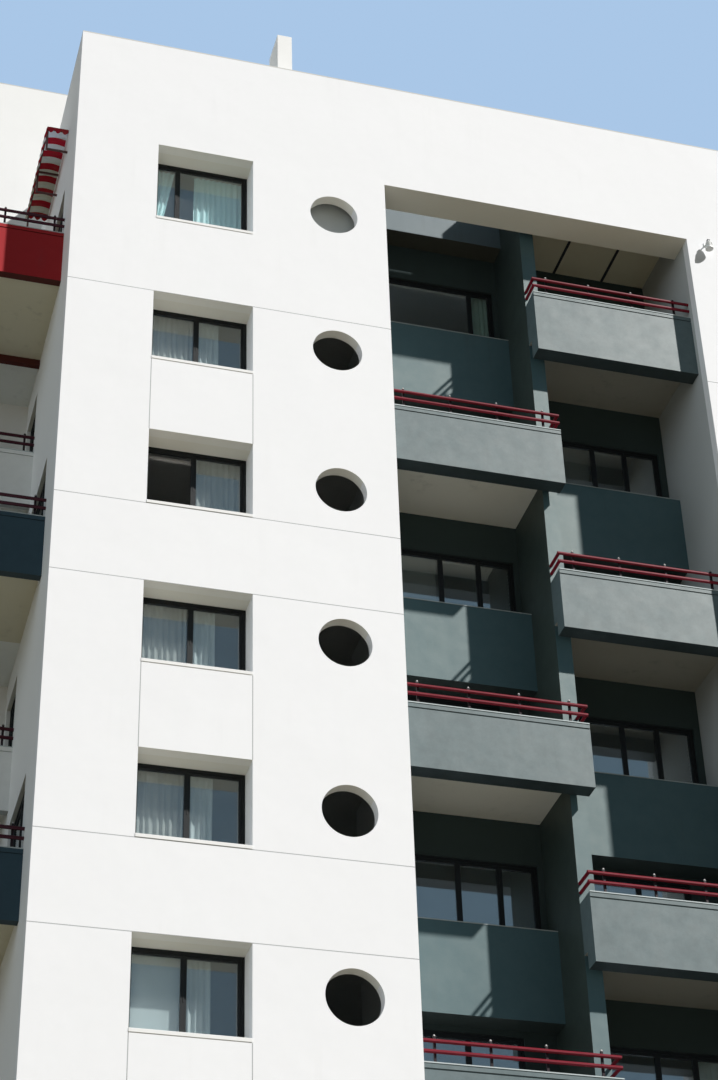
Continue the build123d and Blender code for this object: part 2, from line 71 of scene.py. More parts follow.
@dataclass(frozen=True)
class Plan:
    """Where the block's walls, floors and openings are, from its frame and a few named sizes."""

    half_recess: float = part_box("top_beam")[1][0]
    half_front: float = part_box("front_wall_right_0")[1][0]
    half_block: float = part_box("rear_wall")[1][0]
    front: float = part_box("top_beam")[0][1]
    rear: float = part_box("rear_wall")[1][1]
    setback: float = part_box("wing_wall_left")[0][1]
    recess_back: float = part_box("recess_back_right")[0][1]
    spandrel_front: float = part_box("spandrels")[0][1]
    balcony_front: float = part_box("balconies_left")[0][1]
    deep_front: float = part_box("deep_balconies_left")[0][1]
    short_front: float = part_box("short_balconies_left")[0][1]
    roof_deck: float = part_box("recess_canopy")[1][2]
    parapet_top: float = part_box("top_beam")[1][2]
    rear_top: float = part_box("rear_wall")[1][2]
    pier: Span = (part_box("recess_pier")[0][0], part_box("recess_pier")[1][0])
    wall: float = 0.2
    beam_deep: float = 0.38
    ground_floor: float = 0.15
    first_floor: float = 3.35
    pitch: float = 3.0
    top: int = 9
    top_floor: float = 27.48
    sill_rise: float = 0.75
    top_sill: float = 28.3
    window_high: float = 1.44
    top_window_high: float = 1.74
    window: Span = (1.483, 3.223)
    round_at: float = 4.72
    round_rise: float = 0.76
    round_half: float = 0.44
    reveal: float = 0.48
    frame_deep: float = 0.06
    frame_in: float = 0.045
    recess_high: float = 1.36
    recess_top_high: float = 1.53
    door_step: float = 0.06
    door_head: float = 2.11
    side_door_head: float = 2.19
    recess_door_wide: float = 1.8
    parapet_thick: float = 0.15
    left_balconies: tuple[int, ...] = (8, 6, 4, 2)
    right_balconies: tuple[int, ...] = (9, 7, 5, 3, 1)
    deep_storeys: tuple[int, ...] = right_balconies
    wing_storeys: tuple[int, ...] = deep_storeys + left_balconies
    post_rise: float = 0.44
    post_bay: float = 0.84
    post_inset: float = 0.29
    wing_post_bay: float = 0.877
    wing_post_inset: float = 0.17
    wing_posts: int = 4
    end_post_bay: float = 1.1
    rail_out: float = 0.0453

    def floor(self, k: int) -> float:
        """Height of the floor of storey k."""
        usual = self.first_floor + self.pitch * (k - 1)
        return {self.top: self.top_floor, 0: self.ground_floor}.get(k, usual)

    def sill(self, k: int) -> float:
        """Height of the sill, and of the balcony parapet, of storey k."""
        return self.top_sill if k == self.top else self.floor(k) + self.sill_rise

    def head(self, k: int) -> float:
        """Height of the head of the front windows of storey k."""
        return self.sill(k) + (self.top_window_high if k == self.top else self.window_high)

    def recess_head(self, k: int) -> float:
        """Height of the head of the recess windows of storey k."""
        return self.sill(k) + (self.recess_top_high if k == self.top else self.recess_high)

    def bay_x(self, side: int, distance: float) -> float:
        """X of a place at a distance from a bay's outer edge."""
        return side * (self.half_front - distance)

    def window_x(self, side: int) -> Span:
        """Left and right edge of the front windows of one bay."""
        edges = sorted(self.bay_x(side, distance) for distance in self.window)
        return edges[0], edges[1]

    def balconies(self, side: int) -> tuple[int, ...]:
        """Storeys with a balcony in one column of the recess; the others have a spandrel."""
        return self.left_balconies if side < 0 else self.right_balconies

    def pier_far(self, side: int) -> float:
        """X of the pier's far edge, where the balconies of one column end."""
        return self.pier[1] if side < 0 else self.pier[0]

    def wing_front(self, k: int) -> float:
        """Y of the front of the wing balconies of storey k."""
        return self.deep_front if k in self.deep_storeys else self.short_front


PLAN = Plan()


class Axis(Enum):
    """The way that a frame faces, with the turn of a flat grid that makes it upright."""

    X = 0, Matrix(((0, 0, 1, 0), (1, 0, 0, 0), (0, 1, 0, 0), (0, 0, 0, 1)))
    Y = 1, Matrix(((1, 0, 0, 0), (0, 0, 1, 0), (0, 1, 0, 0), (0, 0, 0, 1)))

    def __init__(self, deep: int, turn: Matrix) -> None:
        """Keeps the number of the axis through the frame, and the turn."""
        self.deep, self.wide, self.turn = deep, 1 - deep, turn


# Finishes -----------------------------------------------------------------------------------------


class Grain(Enum):
    """Patterns of noise: features to a metre, finer layers, how strong those are, and the stretch."""

    CAST = 25.0
    CLOUDS = 0.45, 3.0
    RUNS = 1.0, 5.0, 0.6, (5.0, 5.0, 0.22)
    PATCHES = 0.9
    SPLASH = 2.2
    TROWEL = 1.6, 2.0
    ROLLER = 85.0, 3.0, 0.6
    FINE = 9.0, 5.0
    WORN = 4.5, 6.0, 0.7
    CHALK = 2.6, 9.0, 0.72
    FLOAT = 12.0
    # patches in the painted shade on the pier's sides
    FLANK_PATCHES = 1.8, 5.0, 0.65
    MOTTLE = 5.0, 9.0, 0.72
    DRIFT = 1.5, 3.0
    RED = 5.0, 6.0, 0.7
    SCREED = 2.4, 6.0, 0.65
    STAINS = 0.7, 6.0, 0.65
    SPECKS = 14.0, 5.0, 0.7
    BOARDS = 40.0
    CEMENT = 3.0
    DULL = 6.0, 5.0, 0.6
    CHIPS = 34.0, 6.0, 0.7
    BRUSH = 180.0
    ANODISED = 4.0
    DUST = 20.0
    DRAWN = 60.0, 3.0, 0.5, (1.0, 1.0, 8.0)
    SATIN = 220.0
    PANE = 1.3, 1.0
    FILM = 3.0, 5.0, 0.6
    DYE = 1.8
    GRIME = 6.0, 5.0
    CANVAS = 160.0, 2.0
    GROUND = 0.8

    def __init__(
        self, scale: float, detail: float = 4.0, rough: float = 0.55, stretch: Point = (1.0, 1.0, 1.0)
    ) -> None:
        """Keeps the stretch, and the other three measures as a noise node names them."""
        self.stretch = stretch
        self.inputs = {"Scale": scale, "Detail": detail, "Roughness": rough}


class Nodes:
    """A tree of nodes while it is put together."""

    def __init__(self, tree: bpy.types.NodeTree) -> None:
        """Starts with the tree empty."""
        self.tree = tree
        tree.nodes.clear()

    def add(self, kind: str, **inputs: Setting) -> bpy.types.Node:
        """Adds a node.

        Args:
            kind: type of the node.
            inputs: values or sockets, by the input's name with spaces as underscores, and the node's
                own settings, whose names are all in small letters.

        Returns:
            The new node.
        """
        node = self.tree.nodes.new(kind)
        for name, value in inputs.items():
            if name.islower():
                setattr(node, name, value)
            else:
                self.put(node.inputs[name.replace("_", " ")], value)
        return node

    def put(self, socket: Socket, value: Value | Tone) -> None:
        """Sets a socket to a value, or links it to another socket.

        Args:
            socket: the socket.
            value: a value or another socket.
        """
        if isinstance(value, Socket):
            self.tree.links.new(value, socket)
        elif isinstance(value, tuple) and len(value) == 3 and socket.type == "RGBA":
            socket.default_value = (*value, 1.0)
        else:
            socket.default_value = value

    def math(self, operation: str, *values: Value, clamp: bool = False) -> Socket:
        """A math node over one to three values.

        Args:
            operation: name of the operation.
            values: numbers or sockets.
            clamp: whether the result is kept from 0 to 1.

        Returns:
            The result.
        """
        node = self.add("ShaderNodeMath", operation=operation, use_clamp=clamp)
        for socket, value in zip(node.inputs, values):
            self.put(socket, value)
        return node.outputs[0]

    def most(self, *values: Value) -> Socket:
        """The highest of some values."""
        return reduce(lambda one, other: self.math("MAXIMUM", one, other), values)

    def blend(self, share: Value, first: Socket, second: Socket) -> Socket:
        """Two shaders mixed, by the share of the second.

        Args:
            share: share of the second.
            first: one shader.
            second: another shader.

        Returns:
            The mixed shader.
        """
        node = self.add("ShaderNodeMixShader", Fac=share)
        self.put(node.inputs[1], first)
        self.put(node.inputs[2], second)
        return node.outputs[0]


class Graph(Nodes):
    """The nodes of one material while it is put together, on the object's own coordinates."""

    def __init__(self, name: str) -> None:
        """Starts an empty material of that name.

        Args:
            name: name of the material.
        """
        self.material = bpy.data.materials.new(name)
        self.material.use_nodes = True
        super().__init__(self.material.node_tree)
        self.place = self.add("ShaderNodeTexCoord").outputs["Object"]
        self.x, self.y, self.z = self.add("ShaderNodeSeparateXYZ", Vector=self.place).outputs

    def times(self, *values: Value) -> Socket:
        """The product of some values."""
        return reduce(lambda one, other: self.math("MULTIPLY", one, other), values)

    def ramp(self, value: Value, start: float, rise: float) -> Socket:
        """A start plus a rise, where the value goes from 0 to 1."""
        return self.math("MULTIPLY_ADD", value, rise, start)

    def over(self, value: Value, limit: float) -> Socket:
        """1 where a value is above a limit, and 0 elsewhere."""
        return self.math("GREATER_THAN", value, limit)

    def under(self, value: Value, limit: float) -> Socket:
        """1 where a value is below a limit, and 0 elsewhere."""
        return self.math("LESS_THAN", value, limit)

    def within(self, value: Value, middle: float, half: float) -> Socket:
        """1 where a value is within half of a middle, and 0 elsewhere."""
        return self.math("COMPARE", value, middle, half)

    def out(self, value: Value) -> Socket:
        """A value without its sign."""
        return self.math("ABSOLUTE", value)

    def band(self, value: Value, low: float, high: float) -> Socket:
        """A smooth step from 0 below low to 1 above high, or the other way where high is lower."""
        settings = {"interpolation_type": "SMOOTHSTEP", "From_Min": low, "From_Max": high}
        return self.add("ShaderNodeMapRange", Value=value, **settings).outputs[0]

    def noise(self, grain: Grain) -> Socket:
        """Noise of one pattern, from 0 to 1."""
        place = self.add("ShaderNodeMapping", Vector=self.place, Scale=grain.stretch).outputs[0]
        return self.add("ShaderNodeTexNoise", Vector=place, **grain.inputs).outputs[0]

    def mix(self, amount: Value, first: Tone, second: Tone, blend: str = "MIX") -> Socket:
        """A mix of two colours.

        Args:
            amount: share of the second.
            first: colour or socket.
            second: colour or socket.
            blend: how the second is laid on.

        Returns:
            The mixed colour.
        """
        node = self.add("ShaderNodeMix", data_type="RGBA", blend_type=blend)
        for number, value in ((0, amount), (6, first), (7, second)):
            self.put(node.inputs[number], value)
        return node.outputs[2]

    def varied(self, colour: Tone, amount: float, value: Value) -> Socket:
        """A colour made darker and lighter by up to an amount, where a value goes from 0 to 1.

        Args:
            colour: colour or socket.
            amount: how much darker and lighter, as a share.
            value: value from 0 to 1.

        Returns:
            The varied colour.
        """
        shade = self.ramp(value, 1.0 - amount, 2 * amount)
        grey = self.add("ShaderNodeCombineColor", Red=shade, Green=shade, Blue=shade).outputs[0]
        return self.mix(1.0, colour, grey, "MULTIPLY")

    def bump(self, height: Socket, depth: float, under: Socket | None = None) -> Socket:
        """A relief on the surface.

        Args:
            height: value from 0 to 1.
            depth: height in metres of a value of 1.
            under: relief that this one lies on.

        Returns:
            The normal.
        """
        node = self.add("ShaderNodeBump", Height=height, Distance=depth, Strength=1.0)
        if under is not None:
            self.put(node.inputs["Normal"], under)
        return node.outputs[0]

    def facing(self, name: str) -> Socket:
        """One part of the surface's own direction: X, Y or Z."""
        normal = self.add("ShaderNodeNewGeometry").outputs["True Normal"]
        return self.add("ShaderNodeSeparateXYZ", Vector=normal).outputs[name]

    def done(self, shader: Socket) -> Material:
        """Links the shader to the output and gives the material."""
        self.add("ShaderNodeOutputMaterial", Surface=shader)
        return self.material

    def surface(
        self, colour: Tone, roughness: Value, normal: Socket | None = None, **inputs: Value | Tone
    ) -> Material:
        """Ends the material with one principled shader.

        Args:
            colour: base colour.
            roughness: roughness.
            normal: relief, if any.
            inputs: other inputs of the shader.

        Returns:
            The material.
        """
        if normal is not None:
            inputs["Normal"] = normal
        node = self.add("ShaderNodeBsdfPrincipled", Base_Color=colour, Roughness=roughness, **inputs)
        return self.done(node.outputs[0])


@dataclass(frozen=True)
class Finish:
    """A finish of one colour; its kinds add the grain, wear and dirt."""

    name: str
    colour: Colour
    roughness: float = 0.7

    @cache
    def material(self) -> Material:
        """The finish's material, made once."""
        return self.dress(Graph(self.name))

    def dress(self, graph: Graph) -> Material:
        """Puts the finish's nodes together.

        Args:
            graph: the material's nodes.

        Returns:
            The material.
        """
        grain = graph.noise(Grain.CAST)
        rough = graph.ramp(grain, self.roughness - 0.08, 0.15)
        return graph.surface(graph.varied(self.colour, 0.05, grain), rough, graph.bump(grain, depth=0.0005))


@dataclass(frozen=True)
class Plaster(Finish):
    """Painted plaster: cloudy in the large, stippled by the roller, with rain runs and a splashed foot."""

    # head: colour of the faces that look down; painted shade under beams, lintels and soffits, creamier on
    # white as painted warm bounce
    head: Colour = (0.77, 0.75, 0.66)
    grime: Colour = (0.30, 0.29, 0.26)
    mud: Colour = (0.33, 0.29, 0.24)
    gloss: float = 0.3
    sheen: Colour = (1.0, 1.0, 1.0)
    uneven: float = 0.18
    patchy: float = 0.0
    cloud: float = 0.02
    runs: float = 0.05
    stipple: float = 0.0012
    splash: float = 0.16
    chalk: Span = (0.28, 0.72)

    def paint(self, graph: Graph) -> Socket:
        """The paint's colour before dirt on walls; the faces that look down take the head colour instead,
        as painted shade and painted warm bounce from below.
        """
        cloudy = graph.varied(self.colour, self.cloud, graph.noise(Grain.CLOUDS))
        return graph.mix(graph.under(graph.facing("Z"), -0.5), cloudy, self.head)

    def dirt(self, graph: Graph, colour: Socket) -> Socket:
        """The clean colour with rain runs and a splashed foot.

        Args:
            graph: the material's nodes.
            colour: the clean colour.

        Returns:
            The dirty colour.
        """
        runs = graph.band(graph.noise(Grain.RUNS), 0.5, 0.8)
        patches = graph.band(graph.noise(Grain.PATCHES), 0.42, 0.7)
        foot = graph.band(graph.math("ADD", graph.z, graph.noise(Grain.SPLASH)), 1.3, 0.5)
        dirty = graph.mix(graph.times(runs, patches, self.runs), colour, self.grime)
        return graph.mix(graph.times(foot, self.splash), dirty, self.mud)

    def wear(self, graph: Graph) -> Socket:
        """The paint's roughness, uneven where it is worn."""
        return graph.ramp(graph.noise(Grain.WORN), self.roughness - self.uneven, 2 * self.uneven)

    def dress(self, graph: Graph) -> Material:
        """Puts the finish's nodes together.

        Args:
            graph: the material's nodes.

        Returns:
            The material.
        """
        fine = graph.varied(self.paint(graph), 0.012, graph.noise(Grain.FINE))
        gloss = self.gloss
        if self.patchy:
            chalky = graph.band(graph.noise(Grain.CHALK), *self.chalk)
            gloss = graph.ramp(chalky, gloss * (1.0 - self.patchy), 2 * gloss * self.patchy)
        trowelled = graph.bump(graph.noise(Grain.TROWEL), depth=0.006)
        relief = graph.bump(graph.noise(Grain.ROLLER), self.stipple, trowelled)
        colour = self.dirt(graph, fine)
        return graph.surface(
            colour, self.wear(graph), relief, Specular_IOR_Level=gloss, Specular_Tint=self.sheen
        )


@dataclass(frozen=True)
class ScoredPlaster(Plaster):
    """White plaster with the thin joints scored into the front walls."""

    score: float = 0.0075
    score_colour: Colour = (0.40, 0.41, 0.42)
    score_deep: float = 0.004
    first_lines: Span = (2.54, 4.03)
    panel_low: float = 5.54
    panel_high: float = 1.49
    last_line: float = 27.2

    def joints(self, graph: Graph) -> Socket:
        """1 on a joint: level joints in pairs, and upright ones beside every other window.

        Args:
            graph: the material's nodes.

        Returns:
            The mask.
        """
        every = 2 * PLAN.pitch
        turn = graph.math("FLOORED_MODULO", graph.z, every)
        level = graph.most(*(graph.within(turn, height, self.score) for height in self.first_lines))
        edges = (PLAN.half_front - distance for distance in PLAN.window)
        upright = graph.most(*(graph.within(graph.out(graph.x), edge, self.score) for edge in edges))
        start = graph.math("FLOORED_MODULO", graph.math("SUBTRACT", graph.z, self.panel_low), every)
        lines = graph.most(level, graph.times(upright, graph.under(start, self.panel_high)))
        face = graph.under(graph.y, PLAN.front + self.score_deep)
        return graph.times(lines, graph.under(graph.z, self.last_line), face)

    def dirt(self, graph: Graph, colour: Socket) -> Socket:
        """The clean colour with dirt, and the joints over it."""
        return graph.mix(self.joints(graph), super().dirt(graph, colour), self.score_colour)

    def wear(self, graph: Graph) -> Socket:
        """The paint's roughness, as the float left it."""
        return graph.ramp(graph.noise(Grain.FLOAT), self.roughness - 0.08, 0.18)


@dataclass(frozen=True)
class PierPlaster(Plaster):
    """Slate paint on the pier, with painted shade: nearly black on the two sides that the sun doesn't
    reach.
    """

    # flank: painted shade, the near-black colour of the pier's two sides
    flank: Colour = (0.030, 0.046, 0.042)

    def paint(self, graph: Graph) -> Socket:
        """The paint's colour before dirt: as on other walls in front, and painted shade on the sides.

        Args:
            graph: the material's nodes.

        Returns:
            The colour.
        """
        # painted shade on the sides, in patches
        across = graph.over(graph.out(graph.facing("X")), 0.5)
        flank_shade = graph.varied(self.flank, 0.2, graph.noise(Grain.FLANK_PATCHES))
        return graph.mix(across, super().paint(graph), flank_shade)


@dataclass(frozen=True)
class BalconyPlaster(Plaster):
    """Slate paint on parapets, with painted shade under the beams, pale soffits, screed floors, and red on
    top.
    """

    soffit: Colour = (0.84, 0.83, 0.76)
    # darker colour of the soffits right of the pier: painted shade
    shaded_soffit: Colour = (0.40, 0.39, 0.35)
    # deep_soffit: the wing soffits behind the short fronts, paler and bluer as painted sky light
    deep_soffit: Colour = (0.84, 0.88, 0.88)
    screed: Colour = (0.21, 0.205, 0.19)
    slab: float = 0.12
    slab_band: float = 0.02
    red: Colour = (0.36, 0.018, 0.022)
    # dark red of the undersides and the cross-beam behind the red fronts: painted shade
    shaded_red: Colour = (0.075, 0.016, 0.012)
    red_from: float = 27.0
    beam_in: float = 0.5
    end_in: float = 0.2
    wing: bool = False
    mottle: float = 0.11

    def paint(self, graph: Graph) -> Socket:
        """The paint's colour before dirt: mottled fronts, painted shade on the beam feet, and soffits
        behind the beams.

        Args:
            graph: the material's nodes.

        Returns:
            The colour.
        """
        chalk = graph.band(graph.noise(Grain.MOTTLE), *self.chalk)
        colour = graph.varied(self.colour, self.mottle, chalk)
        colour = graph.varied(colour, 0.5 * self.mottle, graph.noise(Grain.DRIFT))
        # faces that look down take the head colour: painted shade
        below = graph.under(graph.facing("Z"), -0.5)
        colour = graph.mix(below, colour, self.head)
        # painted shade: the soffits right of the pier are darker than those on the left
        soffit = graph.mix(graph.over(graph.x, PLAN.pier[0]), self.soffit, self.shaded_soffit)
        if self.wing:
            # painted shade: the undersides and the cross-beam behind take the dark red
            beam = graph.over(graph.y, PLAN.deep_front + self.beam_in)
            ends = graph.under(graph.out(graph.x), PLAN.half_block - self.end_in)
            dark = graph.most(below, graph.times(beam, ends))
            red = graph.mix(dark, graph.varied(self.red, 0.1, graph.noise(Grain.RED)), self.shaded_red)
            colour = graph.mix(graph.over(graph.z, self.red_from), colour, red)
            # wing soffits: olive in front and blue-white behind, lit and shaded copies of one white paint,
            # painted light and shade
            soffit = graph.mix(graph.over(graph.y, PLAN.short_front), self.soffit, self.deep_soffit)
        colour = graph.mix(graph.times(below, self.slab_level(graph)), colour, soffit)
        screed = graph.varied(self.screed, 0.2, graph.noise(Grain.SCREED))
        return graph.mix(graph.over(graph.facing("Z"), 0.5), colour, screed)

    def slab_level(self, graph: Graph) -> Socket:
        """1 at the level of a slab's underside, between the beams, also under the higher top storey.

        Args:
            graph: the material's nodes.

        Returns:
            The mask.
        """
        turn = graph.math("FLOORED_MODULO", graph.math("SUBTRACT", graph.z, PLAN.first_floor), PLAN.pitch)
        usual = graph.within(turn, PLAN.pitch - self.slab, self.slab_band)
        usual = graph.times(usual, graph.under(graph.z, self.red_from))
        return graph.most(usual, graph.within(graph.z, PLAN.top_floor - self.slab, self.slab_band))


@dataclass(frozen=True)
class Concrete(Finish):
    """Cast concrete with air holes, board bands and damp patches."""

    hole: Colour = (0.12, 0.12, 0.11)

    def dress(self, graph: Graph) -> Material:
        """Puts the finish's nodes together.

        Args:
            graph: the material's nodes.

        Returns:
            The material.
        """
        colour = graph.varied(self.colour, 0.16, graph.noise(Grain.STAINS))
        colour = graph.varied(colour, 0.06, graph.noise(Grain.SPECKS))
        cells = graph.add("ShaderNodeTexVoronoi", Vector=graph.place, Scale=30.0).outputs["Distance"]
        holes = graph.band(cells, 0.10, 0.05)
        colour = graph.mix(graph.times(holes, 0.5), colour, self.hole)
        relief = graph.bump(graph.noise(Grain.BOARDS), 0.002, graph.bump(holes, depth=-0.003))
        rough = graph.ramp(graph.noise(Grain.CEMENT), self.roughness - 0.1, 0.2)
        return graph.surface(colour, rough, relief)


@dataclass(frozen=True)
class Paint(Finish):
    """Gloss paint on metal, dulled by the weather and chipped to the primer."""

    chip: Colour = (0.16, 0.07, 0.05)
    chips: float = 0.72
    gloss: float = 0.5

    def ground(self, graph: Graph) -> Tone:
        """The paint's own colour."""
        return self.colour

    def dress(self, graph: Graph) -> Material:
        """Puts the finish's nodes together.

        Args:
            graph: the material's nodes.

        Returns:
            The material.
        """
        dull = graph.noise(Grain.DULL)
        worn = graph.band(graph.noise(Grain.CHIPS), self.chips, self.chips + 0.03)
        colour = graph.mix(worn, graph.varied(self.ground(graph), 0.14, dull), self.chip)
        rough = graph.ramp(worn, graph.ramp(dull, self.roughness, 0.25), 0.4)
        relief = graph.bump(worn, -0.0004, graph.bump(graph.noise(Grain.BRUSH), depth=0.0002))
        return graph.surface(colour, rough, relief, Specular_IOR_Level=self.gloss)


@dataclass(frozen=True)
class RailPaint(Paint):
    """Crimson gloss on the round rails, darker on the wings as painted shade, and near-black paint on the
    posts behind them.
    """

    post: Colour = (0.022, 0.013, 0.016)
    # darker rail colour on the wings: painted shade
    shaded_wing_rail: Colour = (0.055, 0.008, 0.016)
    half: float = 0.0182
    end_in: float = 0.2
    rail_half: float = 0.035

    def ground(self, graph: Graph) -> Socket:
        """Crimson in the recess, a darker maroon on the wings as painted shade, or the posts' own colour
        where a post stands.
        """
        wing = graph.over(graph.out(graph.x), PLAN.half_front)
        return graph.mix(self.posts(graph), graph.mix(wing, self.colour, self.shaded_wing_rail), self.post)

    def posts(self, graph: Graph) -> Socket:
        """1 on the posts: those in line along each front, off the pier, and those along the wings' ends.

        Args:
            graph: the material's nodes.

        Returns:
            The mask.
        """
        middle = PLAN.parapet_thick / 2
        out = graph.out(graph.x)
        lines = (PLAN.balcony_front, PLAN.deep_front, PLAN.short_front)
        front = graph.most(*(graph.within(graph.y, line + middle, self.half) for line in lines))
        on_pier = graph.within(graph.x, sum(PLAN.pier) / 2, (PLAN.pier[1] - PLAN.pier[0]) / 2)
        off_pier = graph.math("SUBTRACT", 1.0, on_pier)
        front = graph.times(front, off_pier, graph.under(out, PLAN.half_block - self.end_in))
        ends = graph.within(out, PLAN.half_block - middle, self.half)
        crossing = graph.within(graph.y, PLAN.short_front + middle - PLAN.rail_out, self.rail_half)
        behind = graph.over(graph.y, PLAN.deep_front + self.end_in)
        return graph.most(front, graph.times(ends, behind, graph.math("SUBTRACT", 1.0, crossing)))


@dataclass(frozen=True)
class Aluminium(Finish):
    """Dark anodised window section, with dust on its ledges."""

    dust: Colour = (0.20, 0.20, 0.19)

    def dress(self, graph: Graph) -> Material:
        """Puts the finish's nodes together.

        Args:
            graph: the material's nodes.

        Returns:
            The material.
        """
        settled = graph.times(graph.band(graph.facing("Z"), 0.3, 0.9), graph.noise(Grain.DUST))
        colour = graph.mix(settled, graph.varied(self.colour, 0.2, graph.noise(Grain.ANODISED)), self.dust)
        rough = graph.ramp(graph.noise(Grain.DRAWN), self.roughness, 0.2)
        relief = graph.bump(graph.noise(Grain.SATIN), depth=0.0001)
        return graph.surface(colour, rough, relief, Specular_IOR_Level=0.25)


@dataclass(frozen=True)
class Glazing(Finish):
    """Tinted float glass: it mirrors more at a slant, and carries faint dust and slight waves.

    Above a set height it mirrors only a share of that: painted shade in the reflection, as under the
    canopy.
    """

    tint: Colour = (0.96, 0.99, 0.99)
    dust: Colour = (0.55, 0.56, 0.54)
    dusty: float = 0.06
    mirror: float = 0.08
    wave: float = 0.0006
    slid_open: bool = False
    open_storey: int = 7
    open_share: float = 0.49
    shaded_mirror_above: float = 100.0
    shaded_mirror_share: float = 0.3

    def dress(self, graph: Graph) -> Material:
        """Puts the finish's nodes together.

        Args:
            graph: the material's nodes.

        Returns:
            The material.
        """
        wave = graph.bump(graph.noise(Grain.PANE), self.wave)
        through = graph.add("ShaderNodeBsdfTransparent", Color=self.tint)
        sheen = graph.add("ShaderNodeBsdfGlossy", Color=self.colour, Roughness=self.roughness, Normal=wave)
        slant = graph.add("ShaderNodeLayerWeight", Blend=0.5, Normal=wave).outputs["Facing"]
        slant = graph.math("POWER", slant, 5.0)
        share = graph.math("MULTIPLY_ADD", slant, 0.9, 0.04 + self.mirror, clamp=True)
        # painted shade in the reflection above the set height
        dull = graph.ramp(graph.over(graph.z, self.shaded_mirror_above), 1.0, self.shaded_mirror_share - 1.0)
        pane = graph.blend(graph.times(share, dull), through.outputs[0], sheen.outputs[0])
        dust = graph.add("ShaderNodeBsdfDiffuse", Color=self.dust).outputs[0]
        pane = graph.blend(graph.times(graph.noise(Grain.FILM), self.dusty), pane, dust)
        if self.slid_open:
            clear = graph.add("ShaderNodeBsdfTransparent").outputs[0]
            pane = graph.blend(self.open_light(graph), pane, clear)
        return graph.done(pane)

    def open_light(self, graph: Graph) -> Socket:
        """1 over the one light of the left bay whose sash is slid aside.

        Args:
            graph: the material's nodes.

        Returns:
            The mask.
        """
        k = self.open_storey
        x0, x1 = PLAN.window_x(-1)
        across = graph.under(graph.x, x0 + (x1 - x0) * self.open_share)
        high = graph.within(graph.z, (PLAN.sill(k) + PLAN.head(k)) / 2, PLAN.window_high / 2)
        return graph.times(across, graph.over(graph.x, x0 - 0.1), high)


@dataclass(frozen=True)
class Cloth(Finish):
    """Woven cloth with a plain weave, paler where it has faded."""

    thread: float = 900.0
    faded: float = 0.08

    def ground(self, graph: Graph) -> Socket:
        """The cloth's dyed colour."""
        return graph.varied(self.colour, self.faded, graph.noise(Grain.DYE))

    def dress(self, graph: Graph) -> Material:
        """Puts the finish's nodes together.

        Args:
            graph: the material's nodes.

        Returns:
            The material.
        """
        across = graph.math("SINE", graph.times(graph.math("ADD", graph.x, graph.y), self.thread))
        down = graph.math("SINE", graph.times(graph.z, self.thread))
        weave = graph.ramp(graph.times(across, down), 0.5, 0.5)
        colour = graph.varied(self.ground(graph), 0.04, weave)
        relief = graph.bump(weave, depth=0.0003)
        rough = graph.ramp(weave, self.roughness, 0.08)
        return graph.surface(colour, rough, relief, Sheen_Weight=0.2, Sheen_Roughness=0.5)


@dataclass(frozen=True)
class StripedCloth(Cloth):
    """Awning cloth in broad stripes across its length."""

    second: Colour = (0.82, 0.84, 0.82)
    back_tone: Colour = (0.50, 0.46, 0.34)
    grime: Colour = (0.12, 0.11, 0.06)
    period: float = 0.34
    glow: float = 0.35
    back_ramp: Span = (1.4, 2.3)

    def ground(self, graph: Graph) -> Socket:
        """The stripes, with grime patches, and darker towards the back.

        Args:
            graph: the material's nodes.

        Returns:
            The colour.
        """
        part = graph.math("FRACT", graph.math("DIVIDE", graph.y, self.period))
        stripes = graph.mix(graph.over(part, 0.5), self.colour, self.second)
        grime = graph.times(graph.band(graph.noise(Grain.GRIME), 0.5, 0.8), 0.3)
        # the cloth turns darker towards the back over this span
        back = graph.band(graph.y, PLAN.front + self.back_ramp[0], PLAN.front + self.back_ramp[1])
        stripes = graph.mix(back, stripes, self.back_tone, "MULTIPLY")
        return graph.mix(grime, graph.varied(stripes, self.faded, graph.noise(Grain.DYE)), self.grime)

    def dress(self, graph: Graph) -> Material:
        """Puts the finish's nodes together: the cloth also lets some light through.

        Args:
            graph: the material's nodes.

        Returns:
            The material.
        """
        colour = self.ground(graph)
        relief, rough = graph.bump(graph.noise(Grain.CANVAS), depth=0.0004), self.roughness
        solid = graph.add("ShaderNodeBsdfPrincipled", Base_Color=colour, Roughness=rough, Normal=relief)
        through = graph.add("ShaderNodeBsdfTranslucent", Color=colour, Normal=relief)
        return graph.done(graph.blend(self.glow, solid.outputs[0], through.outputs[0]))


# Dark slate: painted shade on the faces that look down, and the grime of the rain runs.
SLATE_SHADE_AND_GRIME: Colour = (0.05, 0.07, 0.07)

# What the spandrels' paint and the pier's have in common, and what every sheet of glass has.
SLATE_PAINT: dict[str, Colour | float] = dict(
    colour=(0.062, 0.124, 0.145), roughness=0.50, head=SLATE_SHADE_AND_GRIME, grime=SLATE_SHADE_AND_GRIME, gloss=0.56,
    sheen=(1.0, 0.95, 0.79), uneven=0.05, patchy=0.15, cloud=0.12, runs=0.35,
)
GLASS_SHEET: dict[str, Colour | float] = dict(colour=(0.92, 0.97, 1.0), roughness=0.01)


